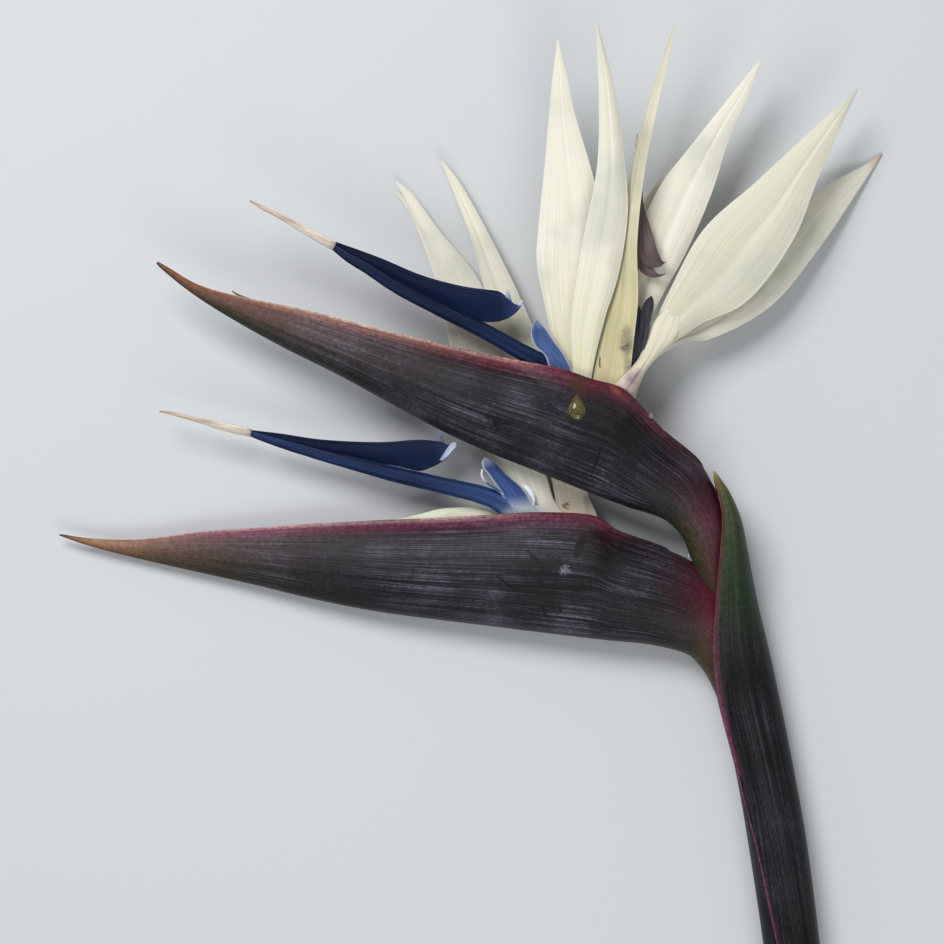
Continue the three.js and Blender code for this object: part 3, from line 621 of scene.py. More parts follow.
@dataclass(frozen=True)
class BractSkin:
    """Leathery bract of the flower head, grown, with its own wax.

    Gives the eye: a near-black purple skin that fine parallel veins run through, a grey wax bloom
    lying on it in long patches and fine scurf, a soft sheen, and a red margin with a thin pale lip
    that fades to tan at the tip. Its tones towards the rims and towards the keel are partly its own
    colour, such as a red neck over olive, and partly painted light: lighter towards the rims and
    darker towards the keel. Sizes are in millimetres: girth and length of the mapped skin, the
    width of a vein, the length of a fine and a coarse streak, a patch of bloom and a fleck of scurf.
    """

    name: str
    # Tones along the skin towards the rims (high) and the keel (low): real tones, such as the red neck and
    # the tan tip, with painted light that makes the rims lighter and the keel darker.
    high: Stops
    low: Stops
    tint_and_light_share: Stops
    rim: Stops
    rim_share: Stops
    rim_width: float = 0.3
    dark: str = "0c0b0f"
    middle: str = "1f1d23"
    bloom: str = "5e5c6c"
    girth: float = 126.0
    length: float = 340.0
    vein: float = 0.3
    patch: float = 33.0
    fine_run: float = 57.0
    coarse_run: float = 170.0
    scurf: float = 2.2
    lip: str = "e2c6b8"
    lip_share: Stops = ((0.0, "000000"), (1.0, "000000"))
    gloss: float = 0.2
    tones: tuple[float, float, float] = (0.43, 0.52, 0.63)
    fine_relief: float = 0.3
    coarse_relief: float = 0.9
    marks: Sequence[Mark] = ()

    def material(self) -> bpy.types.Material:
        """Build the material.

        Returns:
            The material, ready for every piece that wears it.
        """
        material, tree, shader = new_finish(self.name)
        place = add_node(tree, "ShaderNodeUVMap", {"uv_map": "UVMap"})
        parts = add_node(tree, "ShaderNodeSeparateXYZ", inputs={0: place})
        around, along = parts.outputs[0], parts.outputs[1]
        fine = streaks(tree, self.girth / self.vein, self.length / self.fine_run, 3.0)
        coarse = streaks(tree, self.girth / (9 * self.vein), self.length / self.coarse_run, 4.0, 3.7)
        spot = add_node(tree, "ShaderNodeTexCoord").outputs["Object"]
        cloud = add_node(tree, "ShaderNodeTexNoise", inputs={
            "Vector": spot, "Scale": grains(self.patch), "Detail": 5.0})
        veined = add_node(tree, "ShaderNodeMath", {"operation": "MULTIPLY"}, {0: fine, 1: 0.5})
        veined = add_node(tree, "ShaderNodeMath", {"operation": "MULTIPLY_ADD"}, {
            0: coarse, 1: 0.2, 2: veined})
        tone = add_node(tree, "ShaderNodeMath", {"operation": "MULTIPLY_ADD"}, {
            0: cloud, 1: 0.3, 2: veined})
        skin = add_node(tree, "ShaderNodeValToRGB", inputs={0: tone}, stops=tuple(
            zip(self.tones, (self.dark, self.middle, self.bloom))))
        height = add_node(tree, "ShaderNodeMath", {"operation": "MULTIPLY_ADD"}, {0: around, 1: 2.0, 2: -1.0})
        height = add_node(tree, "ShaderNodeMath", {"operation": "ABSOLUTE"}, {0: height})
        ragged = add_node(tree, "ShaderNodeMath", {"operation": "MULTIPLY_ADD"}, {
            0: coarse, 1: 0.22, 2: height})
        # Share of the rim tones over the keel tones, for real colour and for painted light.
        upward = add_node(tree, "ShaderNodeMapRange", {"interpolation_type": "SMOOTHSTEP"}, {
            0: ragged, 1: 0.3, 2: 0.85})
        high = add_node(tree, "ShaderNodeValToRGB", inputs={0: along}, stops=self.high)
        low = add_node(tree, "ShaderNodeValToRGB", inputs={0: along}, stops=self.low)
        tint_and_painted_light = add_node(tree, "ShaderNodeMix", {"data_type": "RGBA"}, {
            0: upward, 6: low, 7: high})
        share = add_node(tree, "ShaderNodeValToRGB", inputs={0: along}, stops=self.tint_and_light_share)
        body = add_node(tree, "ShaderNodeMix", {"data_type": "RGBA"}, {
            0: share, 6: skin, 7: tint_and_painted_light.outputs[2]})
        edge = add_node(tree, "ShaderNodeMapRange", {"interpolation_type": "SMOOTHSTEP"}, {
            0: ragged, 1: 1.08 - self.rim_width, 2: 1.12})
        rim_share = add_node(tree, "ShaderNodeValToRGB", inputs={0: along}, stops=self.rim_share)
        edge = add_node(tree, "ShaderNodeMath", {"operation": "MULTIPLY"}, {
            0: edge, 1: rim_share})
        rim = add_node(tree, "ShaderNodeValToRGB", inputs={0: along}, stops=self.rim)
        body = add_node(tree, "ShaderNodeMix", {"data_type": "RGBA"}, {
            0: edge, 6: body.outputs[2], 7: rim}).outputs[2]
        lip = add_node(tree, "ShaderNodeMapRange", {"interpolation_type": "SMOOTHSTEP"}, {
            0: height, 1: 0.86, 2: 0.96})
        lip_share = add_node(tree, "ShaderNodeValToRGB", inputs={0: along}, stops=self.lip_share)
        lip = add_node(tree, "ShaderNodeMath", {"operation": "MULTIPLY"}, {
            0: lip, 1: lip_share})
        body = add_node(tree, "ShaderNodeMix", {"data_type": "RGBA"}, {
            0: lip, 6: body, 7: colour(self.lip)}).outputs[2]
        shade = add_node(tree, "ShaderNodeMapRange", inputs={0: fine, 1: 0.35, 2: 0.62, 3: 0.5, 4: 1.2})
        dust = add_node(tree, "ShaderNodeTexNoise", inputs={
            "Vector": spot, "Scale": grains(self.scurf), "Detail": 6.0, "Roughness": 0.75})
        dust = add_node(tree, "ShaderNodeMapRange", inputs={
            0: dust, 1: 0.38, 2: 0.66, 3: 0.5, 4: 1.5})
        shade = add_node(tree, "ShaderNodeMath", {"operation": "MULTIPLY"}, {
            0: shade, 1: dust})
        dusty = add_node(tree, "ShaderNodeMapRange", inputs={
            0: share, 1: 0.0, 2: 1.0, 3: 1.0, 4: 0.5})
        body = add_node(tree, "ShaderNodeMix", {"data_type": "RGBA", "blend_type": "MULTIPLY"}, {
            0: dusty, 6: body, 7: shade}).outputs[2]
        for mark in self.marks:
            body = mark.laid_on(tree, body)
        tree.links.new(body, shader.inputs["Base Color"])
        shader.inputs["Specular IOR Level"].default_value = self.gloss
        rough = add_node(tree, "ShaderNodeMapRange", inputs={
            0: tone, 1: 0.4, 2: 0.66, 3: 0.4, 4: 0.6})
        tree.links.new(rough.outputs[0], shader.inputs["Roughness"])
        bump = add_node(tree, "ShaderNodeBump", inputs={
            "Strength": 0.4, "Distance": self.fine_relief * MM, "Height": fine})
        bump = add_node(tree, "ShaderNodeBump", inputs={
            "Strength": 0.35, "Distance": self.coarse_relief * MM, "Height": coarse,
            "Normal": bump})
        tree.links.new(bump.outputs[0], shader.inputs["Normal"])
        return material


@dataclass(frozen=True)
class SepalSkin:
    """Thin fleshy sepal, grown.

    Gives the eye: matt cream with faint parallel veins and brighter ridges, yellow-green where it
    thickens at its foot, grey patches of painted shade, and a little light glowing through. Sizes are
    in millimetres: width and length of the mapped skin, a vein, the length of a vein and of a broad
    ridge, a patch of painted shade.
    """

    name: str
    along: Stops
    vein_tone: str = "b5b09a"
    bright: str = "ece9da"
    # Grey of the patches of painted shade.
    shade: str = "b9bcae"
    width: float = 35.0
    length: float = 165.0
    vein: float = 0.62
    vein_run: float = 110.0
    broad_run: float = 150.0
    patch: float = 38.0
    vein_relief: float = 0.3
    broad_relief: float = 1.1
    glow: float = 0.15
    tip: str = ""
    marks: Sequence[Mark] = ()

    def material(self) -> bpy.types.Material:
        """Build the material.

        Returns:
            The material, ready for every piece that wears it.
        """
        material, tree, shader = new_finish(self.name)
        shader.inputs["Roughness"].default_value = 0.55
        shader.inputs["Specular IOR Level"].default_value = 0.35
        shader.inputs["Subsurface Weight"].default_value = self.glow
        shader.inputs["Subsurface Scale"].default_value = GLOW_DEPTH
        shader.inputs["Subsurface Radius"].default_value = (1.0, 0.85, 0.5)
        place = add_node(tree, "ShaderNodeUVMap", {"uv_map": "UVMap"})
        parts = add_node(tree, "ShaderNodeSeparateXYZ", inputs={0: place})
        base = add_node(tree, "ShaderNodeValToRGB", inputs={0: parts.outputs[1]}, stops=self.along)
        veins = streaks(tree, self.width / self.vein, self.length / self.vein_run, 4.0)
        broad = streaks(tree, self.width / (5 * self.vein), self.length / self.broad_run, 2.0, 7.1)
        dark = add_node(tree, "ShaderNodeMapRange", inputs={0: veins, 1: 0.5, 2: 0.3, 4: 0.45})
        light = add_node(tree, "ShaderNodeMapRange", inputs={0: broad, 1: 0.45, 2: 0.7, 4: 0.5})
        layers = [(light, self.bright), (dark, self.vein_tone)]
        if self.tip:
            layers.append((add_node(tree, "ShaderNodeMapRange", {"interpolation_type": "SMOOTHSTEP"}, {
                0: parts.outputs[1], 1: 0.93, 2: 1.0, 4: 0.8}), self.tip))
        spot = add_node(tree, "ShaderNodeTexCoord").outputs["Object"]
        # Patches of painted shade, laid by a large cloud noise.
        cloud = add_node(tree, "ShaderNodeTexNoise", inputs={
            "Vector": spot, "Scale": grains(self.patch), "Detail": 3.0})
        painted_shade_patches = add_node(tree, "ShaderNodeMapRange", inputs={0: cloud, 1: 0.46, 2: 0.66, 4: 0.55})
        margin = add_node(tree, "ShaderNodeMath", {"operation": "PINGPONG"}, {0: parts, 1: 0.5})
        edge = add_node(tree, "ShaderNodeMapRange", {"interpolation_type": "SMOOTHSTEP"}, {
            0: margin, 1: 0.15, 2: 0.03, 4: 0.8})
        layers += [(painted_shade_patches, self.shade), (edge, self.bright)]
        body = base.outputs[0]
        for share, code in layers:
            body = add_node(tree, "ShaderNodeMix", {"data_type": "RGBA"}, {
                0: share, 6: body, 7: colour(code)}).outputs[2]
        for mark in self.marks:
            body = mark.laid_on(tree, body)
        tree.links.new(body, shader.inputs["Base Color"])
        bump = add_node(tree, "ShaderNodeBump", inputs={
            "Strength": 0.3, "Distance": self.vein_relief * MM, "Height": veins})
        bump = add_node(tree, "ShaderNodeBump", inputs={
            "Strength": 0.3, "Distance": self.broad_relief * MM, "Height": broad,
            "Normal": bump})
        tree.links.new(bump.outputs[0], shader.inputs["Normal"])
        return material


@dataclass(frozen=True)
class PetalSkin:
    """Satin petal or dry stigma, grown.

    Gives the eye: close lengthwise lines of a dark and a light tone, a change of colour along the
    petal, a paler outer edge, and a soft sheen. Sizes are in millimetres: width and length of the
    mapped skin, the width and length of a line, and its relief.
    """

    name: str
    dark: str
    light: str
    edge: str
    along: Stops
    along_share: float = 0.4
    width: float = 10.0
    length: float = 100.0
    line: float = 0.38
    line_run: float = 40.0
    edge_width: float = 0.12
    both_edges: bool = False
    roughness: float = 0.42
    gloss: float = 0.38
    relief: float = 0.6
    foot: str = ""
    foot_end: float = 0.2

    def material(self) -> bpy.types.Material:
        """Build the material.

        Returns:
            The material, ready for every piece that wears it.
        """
        material, tree, shader = new_finish(self.name)
        shader.inputs["Roughness"].default_value = self.roughness
        shader.inputs["Specular IOR Level"].default_value = self.gloss
        shader.inputs["Sheen Weight"].default_value = 0.03
        shader.inputs["Sheen Tint"].default_value = colour(self.edge)
        place = add_node(tree, "ShaderNodeUVMap", {"uv_map": "UVMap"})
        parts = add_node(tree, "ShaderNodeSeparateXYZ", inputs={0: place})
        lines = streaks(tree, self.width / self.line, self.length / self.line_run, 4.0)
        base = add_node(tree, "ShaderNodeValToRGB", inputs={0: lines}, stops=(
            (0.38, self.dark), (0.62, self.light)))
        length = add_node(tree, "ShaderNodeValToRGB", inputs={0: parts.outputs[1]}, stops=self.along)
        body = add_node(tree, "ShaderNodeMix", {"data_type": "RGBA"}, {
            0: self.along_share, 6: base, 7: length})
        margin = add_node(tree, "ShaderNodeMath", {"operation": "PINGPONG"}, {
            0: parts, 1: 0.5 if self.both_edges else 1.0})
        outer = add_node(tree, "ShaderNodeMapRange", {"interpolation_type": "SMOOTHSTEP"}, {
            0: margin, 1: self.edge_width, 2: 0.0, 4: 0.85})
        body = add_node(tree, "ShaderNodeMix", {"data_type": "RGBA"}, {
            0: outer, 6: body.outputs[2], 7: colour(self.edge)})
        if self.foot:
            near = add_node(tree, "ShaderNodeMapRange", {"interpolation_type": "SMOOTHSTEP"}, {
                0: parts.outputs[1], 1: self.foot_end, 2: self.foot_end / 4, 4: 0.92})
            body = add_node(tree, "ShaderNodeMix", {"data_type": "RGBA"}, {
                0: near, 6: body.outputs[2], 7: colour(self.foot)})
        tree.links.new(body.outputs[2], shader.inputs["Base Color"])
        bump = add_node(tree, "ShaderNodeBump", inputs={
            "Strength": 0.55, "Distance": self.relief * MM, "Height": lines})
        tree.links.new(bump.outputs[0], shader.inputs["Normal"])
        return material


@dataclass(frozen=True)
class FleshSkin:
    """Moist white plant flesh, as on a flower's base inside its spathe or on a fresh cut.

    Gives the eye: a mottled pale body with a wet gloss and light going a little way in.
    """

    name: str
    dark: str
    light: str
    grain: float = 4.2
    relief: float = 0.4
    roughness: float = 0.38
    marks: Sequence[Mark] = ()

    def material(self) -> bpy.types.Material:
        """Build the material.

        Returns:
            The material, ready for every piece that wears it.
        """
        material, tree, shader = new_finish(self.name)
        shader.inputs["Roughness"].default_value = self.roughness
        shader.inputs["Subsurface Weight"].default_value = 0.1
        shader.inputs["Subsurface Scale"].default_value = GLOW_DEPTH
        spot = add_node(tree, "ShaderNodeTexCoord").outputs["Object"]
        grain = add_node(tree, "ShaderNodeTexNoise", inputs={
            "Vector": spot, "Scale": grains(self.grain), "Detail": 4.0, "Roughness": 0.6})
        body = add_node(tree, "ShaderNodeValToRGB", inputs={0: grain}, stops=(
            (0.35, self.dark), (0.62, self.light))).outputs[0]
        for mark in self.marks:
            body = mark.laid_on(tree, body)
        tree.links.new(body, shader.inputs["Base Color"])
        bump = add_node(tree, "ShaderNodeBump", inputs={
            "Strength": 0.4, "Distance": self.relief * MM, "Height": grain})
        tree.links.new(bump.outputs[0], shader.inputs["Normal"])
        return material


@dataclass(frozen=True)
class NectarSkin:
    """Thick nectar that has browned to honey.

    Gives the eye: a clear olive-gold body with a bright wet highlight and the skin under it showing.
    """

    name: str
    dark: str
    light: str
    cloud: float = 3.3

    def material(self) -> bpy.types.Material:
        """Build the material.

        Returns:
            The material, ready for every piece that wears it.
        """
        material, tree, shader = new_finish(self.name)
        shader.inputs["Roughness"].default_value = 0.04
        shader.inputs["IOR"].default_value = 1.4
        shader.inputs["Transmission Weight"].default_value = 0.85
        spot = add_node(tree, "ShaderNodeTexCoord").outputs["Object"]
        cloud = add_node(tree, "ShaderNodeTexNoise", inputs={
            "Vector": spot, "Scale": grains(self.cloud), "Detail": 2.0})
        base = add_node(tree, "ShaderNodeValToRGB", inputs={0: cloud}, stops=(
            (0.3, self.dark), (0.7, self.light)))
        tree.links.new(base.outputs[0], shader.inputs["Base Color"])
        return material


# Meshes.


class Lay(Enum):
    """How a flat grid's map lies on the form that it is bent into."""

    SHEET = "one side of a sheet"
    DOUBLED = "front and back of a closed blade"
    TUBE = "once round a tube"


def grown_form(across: int, along: int, shape: Shape, lay: Lay,
               wall: Callable[[float, float], float] | None = None) -> bmesh.types.BMesh:
    """Bend a flat grid into a leaf, blade or tube that is mapped from its foot to its tip.

    Args:
        across: Faces across the grid.
        along: Faces along it.
        shape: Gives a point in millimetres for x from -1 to 1 across and t from 0 to 1 along.
        lay: How the map lies. All but a sheet are closed at their ends.
        wall: Gives the share of the full wall thickness at x and t.

    Returns:
        The form, in metres.
    """
    bm = bmesh.new()
    bmesh.ops.create_grid(bm, x_segments=across, y_segments=along, size=1.0)
    leaf = bm.loops.layers.uv.new("UVMap")
    for face in bm.faces:
        for loop in face.loops:
            x, y = loop.vert.co.x, loop.vert.co.y
            loop[leaf].uv = (1 - abs(x) if lay is Lay.DOUBLED else (x + 1) / 2, (y + 1) / 2)
    weights = bm.verts.layers.deform.verify()
    for vert in bm.verts:
        x, t = vert.co.x, (vert.co.y + 1) / 2
        if wall:
            vert[weights][0] = wall(x, t)
        vert.co = shape(x, t) * MM
    bmesh.ops.remove_doubles(bm, verts=bm.verts, dist=WELD)
    if lay is not Lay.SHEET:
        bmesh.ops.holes_fill(bm, edges=bm.edges, sides=0)
        bmesh.ops.recalc_face_normals(bm, faces=bm.faces)
    return bm


def joined(forms: Sequence[bmesh.types.BMesh]) -> bmesh.types.BMesh:
    """Put several forms into one mesh.

    Args:
        forms: The forms; all but the first are freed.

    Returns:
        The first form with all the others in it.
    """
    for form in forms[1:]:
        mesh = bpy.data.meshes.new("part of a piece")
        form.to_mesh(mesh)
        form.free()
        forms[0].from_mesh(mesh)
        bpy.data.meshes.remove(mesh)
    return forms[0]


def new_piece(name: str, bm: bmesh.types.BMesh, material: bpy.types.Material, slot: str,
              *nodes: str, wall: float = 0.0) -> bpy.types.Object:
    """Make a finished piece of a mesh, and let it ride on the flower.

    Args:
        name: The piece's name.
        bm: Its mesh, in place.
        material: Its finish.
        slot: A slot name for its finish; it is not used.
        nodes: The solids that it stands for.
        wall: Wall thickness in millimetres that a sheet gets inwards.

    Returns:
        The piece.
    """
    mesh = bpy.data.meshes.new(name)
    bm.to_mesh(mesh)
    bm.free()
    mesh.shade_smooth()
    piece = bpy.data.objects.new(name, mesh)
    bpy.context.scene.collection.objects.link(piece)
    mesh.materials.append(material)
    if wall:
        piece.vertex_groups.new(name="wall")
        shell = piece.modifiers.new("wall", "SOLIDIFY")
        shell.thickness = wall * MM
        shell.offset = -1.0
        shell.vertex_group = "wall"
    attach(piece, BODY)
    if nodes:
        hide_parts(*nodes)
    LOG.info("%s: %d faces, stands for %s", name, len(mesh.polygons), ", ".join(nodes) or "no solid")
    return piece


def grain(seed: float, across: float, along: float) -> float:
    """Read smooth noise from -1 to 1 for gentle unevenness."""
    return noise.noise(Vector((across, along, seed)))


def around_blade(x: float) -> tuple[float, int]:
    """Turn a grid's x into the place across a closed blade and its side.

    Args:
        x: From -1 to 1, the front first.

    Returns:
        The place from -1 at the left outline to 1 at the right, and 1 in front or -1 behind.
    """
    return -math.cos(math.pi * (1 - abs(x))), 1 if x < 0 else -1


class BladeForm:
    """The curved, slightly uneven body of a sepal or a petal."""

    def __init__(self, blade: Blade, thickness: float, seed: float, taper: float = 0.45) -> None:
        """Keep the blade's outlines and its own unevenness.

        Args:
            blade: Its outlines, folds and waves.
            thickness: Its full thickness in millimetres.
            seed: Makes its unevenness its own.
            taper: The share of its thickness that it loses towards its tip.
        """
        self.blade = blade
        self.thickness = thickness
        self.taper = taper
        self.seed = seed
        self.left = Outline(blade.left, blade.left_z)
        self.right = Outline(blade.right, blade.right_z)

    def normal(self, t: float) -> Vector:
        """Give the direction that the blade faces at t."""
        ends = [self.left.at(s) + self.right.at(s) for s in (max(0.0, t - STEP), min(1.0, t + STEP))]
        return (self.right.at(t) - self.left.at(t)).cross(ends[1] - ends[0]).normalized()

    def relief(self, w: float, t: float) -> float:
        """Give how far the blade stands out from the plane between its outlines.

        Args:
            w: Place across, from -1 at its left outline to 1 at its right.
            t: Share of the way along it.

        Returns:
            The height in millimetres.
        """
        blade, swell = self.blade, math.sin(math.pi * min(max(t, 0.0), 1.0)) ** 0.8
        centre = 2 * blade.fold_at - 1
        crease = math.exp(-(((w - centre) / 0.16) ** 2)) * swell * blade.fold
        ridges = grain(self.seed, w * 3.2, t * 1.3) + 0.5 * grain(self.seed + 9, w * 8.0, t * 1.7)
        waves = w ** 4 * grain(self.seed + 5, math.copysign(2.0, w), t * 6.5) * swell * blade.wave
        return blade.bulge * swell * (1 - w * w) - crease + ridges * blade.ridge * swell + waves

    def at(self, x: float, t: float) -> Vector:
        """Give the closed blade's point.

        Args:
            x: Place round it, from -1 to 1, its back at both ends.
            t: Share of the way along it.

        Returns:
            The point in millimetres.
        """
        w, side = around_blade(x)
        spot = self.left.at(t).lerp(self.right.at(t), (w + 1) / 2)
        body = self.thickness / 2 * math.sqrt(max(0.0, 1 - w * w)) * (1 - self.taper * t * t)
        return spot + self.normal(t) * (self.relief(w, t) + side * body)

    def mesh(self, around: int, along: int) -> bmesh.types.BMesh:
        """Grow the blade's mesh, with the given faces round it and along it."""
        return grown_form(around, along, self.at, Lay.DOUBLED)


def grown_blades(blades: Sequence[Blade], thickness: float, seed: float, faces: Faces) -> bmesh.types.BMesh:
    """Grow several blades as one mesh.

    Args:
        blades: Their outlines, folds and waves.
        thickness: Their full thickness in millimetres.
        seed: The first one's seed; each next one's is 1 more.
        faces: Faces round and along each of them.

    Returns:
        Their mesh, in metres.
    """
    return joined([BladeForm(blade, thickness, seed + i).mesh(*faces) for i, blade in enumerate(blades)])


@dataclass(frozen=True)
class Shaft:
    """A tapered, ridged shaft through points with radii, in millimetres."""

    points: Sequence[tuple[float, float, float, float]]
    ridges: int = 3
    ridge: float = 0.12
    uneven: float = 0.06
    flat: float = 1.0

    def centre(self, t: float) -> Vector:
        """Give the middle of the shaft at t."""
        return Vector([smooth_value([p[axis] for p in self.points], t) for axis in range(3)])

    def at(self, x: float, t: float) -> Vector:
        """Give the shaft's point.

        Args:
            x: Share of half a turn round it, from -1 to 1.
            t: Share of the way along it.

        Returns:
            The point in millimetres.
        """
        ahead = (self.centre(min(1.0, t + STEP)) - self.centre(max(0.0, t - STEP))).normalized()
        side = ahead.cross(Vector((0, 0, 1))).normalized()
        upward = side.cross(ahead)
        angle = math.pi * x
        radius = max(0.25, smooth_value([p[3] for p in self.points], t))
        uneven = self.uneven * grain(math.cos(angle), math.sin(angle), t * 40)
        radius *= 1 + self.ridge * math.cos(self.ridges * angle) + uneven
        return self.centre(t) + (side * math.sin(angle) + upward * (self.flat * math.cos(angle))) * radius

    def mesh(self, around: int, along: int) -> bmesh.types.BMesh:
        """Grow the shaft's mesh, with the given faces round it and along it."""
        return grown_form(around, along, self.at, Lay.TUBE)


# Parts of the flower head.


@dataclass
class Spathe:
    """A boat-shaped bract, folded along its keel, with its mouth open where the flowers rise.

    Wall, relief and lip are in millimetres. Its skin grows even towards both ends, before and after
    the two shares of its length in calm. Towards the rims, the lip swells from lip_from and the
    wall thins from thin_from, both shares of half its width.
    """

    name: str
    ribs: Sequence[Rib]
    skin: BractSkin
    seed: float
    spur: Blade | None = None
    spur_skin: PetalSkin | None = None
    wall: float = 2.0
    relief: float = 0.35
    lip: float = 0.5
    calm: tuple[float, float] = (0.08, 0.9)
    lip_from: float = 0.93
    thin_from: float = 0.9
    thinned: float = 0.45
    room_used: float = 0.8
    faces: Faces = (80, 190)
    spur_thickness: float = 0.6
    spur_faces: Faces = (16, 24)

    def at(self, x: float, t: float) -> Vector:
        """Give the outer skin's point.

        Args:
            x: Place across, from the far rim at -1 over the keel to the near rim at 1.
            t: Share of the way from the node to the tip.

        Returns:
            The point in millimetres.
        """
        section = Section.of(self.ribs, t)
        u = -math.cos(math.pi * abs(x))
        side = 1 if x > 0 else -1
        keel = min(1.0, (1 + u) / FOLD) ** 0.5
        rise = section.half_depth(u) * keel if u < section.WIDEST else section.half_depth(u)
        ends = ease(0.0, self.calm[0], t) * ease(1.0, self.calm[1], t)
        uneven = grain(self.seed, 4 * x, 3.5 * t) + 0.4 * grain(self.seed + 3, 13 * x, 5 * t)
        uneven *= self.relief * ends * math.sin(math.pi * abs(x))
        rolled = self.lip * ease(self.lip_from, 1.0, abs(x)) * ends
        point = section.at(u, side * max(0.0, rise + uneven + rolled))
        point.z = max(0.0, point.z)
        return point

    def wall_share(self, x: float, t: float) -> float:
        """Give the share of the full wall that fits.

        Args:
            x: Place across, from -1 to 1.
            t: Share of the way along it.

        Returns:
            The share, less at the rims and in the narrow tip.
        """
        section = Section.of(self.ribs, t)
        u = -math.cos(math.pi * abs(x))
        room = section.half_depth(u) if abs(x) > 0.25 else section.half_depth(-0.6)
        thin = self.thinned * ease(self.thin_from, 1.0, abs(x))
        return min(1.0 - thin, self.room_used * room / self.wall)

    def build(self) -> None:
        """Grow the spathe, and the dry spur on its rim if it has one."""
        bm = grown_form(*self.faces, self.at, Lay.SHEET, self.wall_share)
        new_piece(f"{self.name}_skin", bm, self.skin.material(), "spathe_skin", self.name, wall=self.wall)
        if self.spur and self.spur_skin:
            spur = BladeForm(self.spur, self.spur_thickness, 9.0).mesh(*self.spur_faces)
            new_piece(f"{self.name}_spur", spur, self.spur_skin.material(), "spathe_skin")


@dataclass
class Stalk:
    """The round stalk with its fresh cut."""

    skin: BractSkin
    cut: FleshSkin
    cut_proud: float = 0.25
    cut_thick: float = 0.9
    faces: Faces = (64, 90)
    cut_faces: Faces = (64, 30)
    cut_rim: float = 0.8

    def at(self, x: float, t: float) -> Vector:
        """Give the skin's point.

        Args:
            x: Share of half a turn round the stalk, from -1 to 1, its left side at both ends.
            t: Share of the way from the cut to the node.

        Returns:
            The point in millimetres.
        """
        section = Section.of(STALK, t)
        u = -math.cos(math.pi * (1 - abs(x)))
        rise = section.round_half(u) * (1 + 0.012 * grain(2.0, 9 * u, 3 * t))
        return section.at(u, -math.copysign(rise, x))

    def cut_at(self, x: float, t: float) -> Vector:
        """Give the cut face's point: from its middle over its rim to the middle of its back.

        Args:
            x: Share of a turn round the stalk, from -1 to 1.
            t: Share of the way over the face and back.

        Returns:
            The point in millimetres.
        """
        behind = max(0.0, (t - self.cut_rim) / (1 - self.cut_rim))
        reach = 1 - behind if behind else t / self.cut_rim
        point = Section.of(STALK, 0.0).at(0.0, 0.0).lerp(self.at(x, 0.0), 0.985 * reach)
        fibres = 0.12 * grain(5.0, point.x * 0.5, point.z * 0.5) * (1 - reach)
        point.y += fibres - self.cut_proud + self.cut_thick * min(1.0, 4 * behind)
        return point

    def build(self) -> None:
        """Grow the stalk and close its cut end."""
        new_piece("stalk_skin", grown_form(*self.faces, self.at, Lay.TUBE), self.skin.material(),
                  "stalk_skin", "stalk")
        new_piece("stalk_cut", grown_form(*self.cut_faces, self.cut_at, Lay.TUBE), self.cut.material(),
                  "stalk_skin")


@dataclass
class Sheath:
    """The bract that wraps the stalk and the necks of both spathes.

    Wall, relief and lip are in millimetres; thinned holds the shares of the wall that the margins
    and the tip lose.
    """

    skin: BractSkin
    wall: float = 1.5
    relief: float = 0.3
    lip: float = 0.9
    thinned: tuple[float, float] = (0.6, 0.7)
    faces: Faces = (72, 150)

    def at(self, x: float, t: float) -> Vector:
        """Give the outer skin's point.

        Args:
            x: Place across, from the front margin at -1 to the back margin at 1.
            t: Share of the way from the cut to the tip.

        Returns:
            The point in millimetres.
        """
        section = Section.of(SHEATH, t)
        u = math.cos(math.pi * x)
        rounded = section.half_depth(u)
        if u > 0.9:
            rounded *= min(1.0, (1 - u) / FOLD) ** 0.5
        uneven = self.relief * grain(6.0, 5 * x, 4 * t) * math.sin(math.pi * abs(x)) * ease(1.0, 0.9, t)
        rolled = self.lip * ease(0.8, 0.97, abs(x)) * ease(1.0, 0.8, t)
        point = section.at(u, math.copysign(max(0.0, rounded + uneven + rolled), -x))
        point.z = max(0.0, point.z)
        return point

    def wall_share(self, x: float, t: float) -> float:
        """Give the share of the full wall at x and t, thin at both margins and at the tip."""
        margin, tip = self.thinned
        return (1 - margin * ease(0.75, 1.0, abs(x))) * (1 - tip * ease(0.85, 1.0, t))

    def build(self) -> None:
        """Grow the sheath."""
        bm = grown_form(*self.faces, self.at, Lay.SHEET, self.wall_share)
        new_piece("sheath_skin", bm, self.skin.material(), "sheath_skin", "sheath", wall=self.wall)


@dataclass
class Sepals:
    """The cream sepals of all the flowers, and the pale edge of one still in the lower spathe."""

    skins: dict[str, SepalSkin]
    thickness: float = 0.9
    bud_thickness: float = 1.4
    faces: Faces = (72, 130)
    bud_faces: Faces = (24, 60)

    def build(self) -> None:
        """Grow each sepal in its own finish."""
        one_each = {skin.name: skin for skin in self.skins.values()}
        materials = {name: skin.material() for name, skin in one_each.items()}
        for number, (name, blade) in enumerate(SEPALS.items()):
            form = BladeForm(blade, self.thickness, 11.3 * (number + 1))
            skin = self.skins.get(name, self.skins["others"])
            new_piece(f"{name}_blade", form.mesh(*self.faces), materials[skin.name], "sepal_cream", name)
        bud = BladeForm(BUD_SEPAL, self.bud_thickness, 3.0)
        new_piece("bud_sepal_edge", bud.mesh(*self.bud_faces), materials[self.skins["bud"].name],
                  "bud_sepal_pale", "bud_sepal")


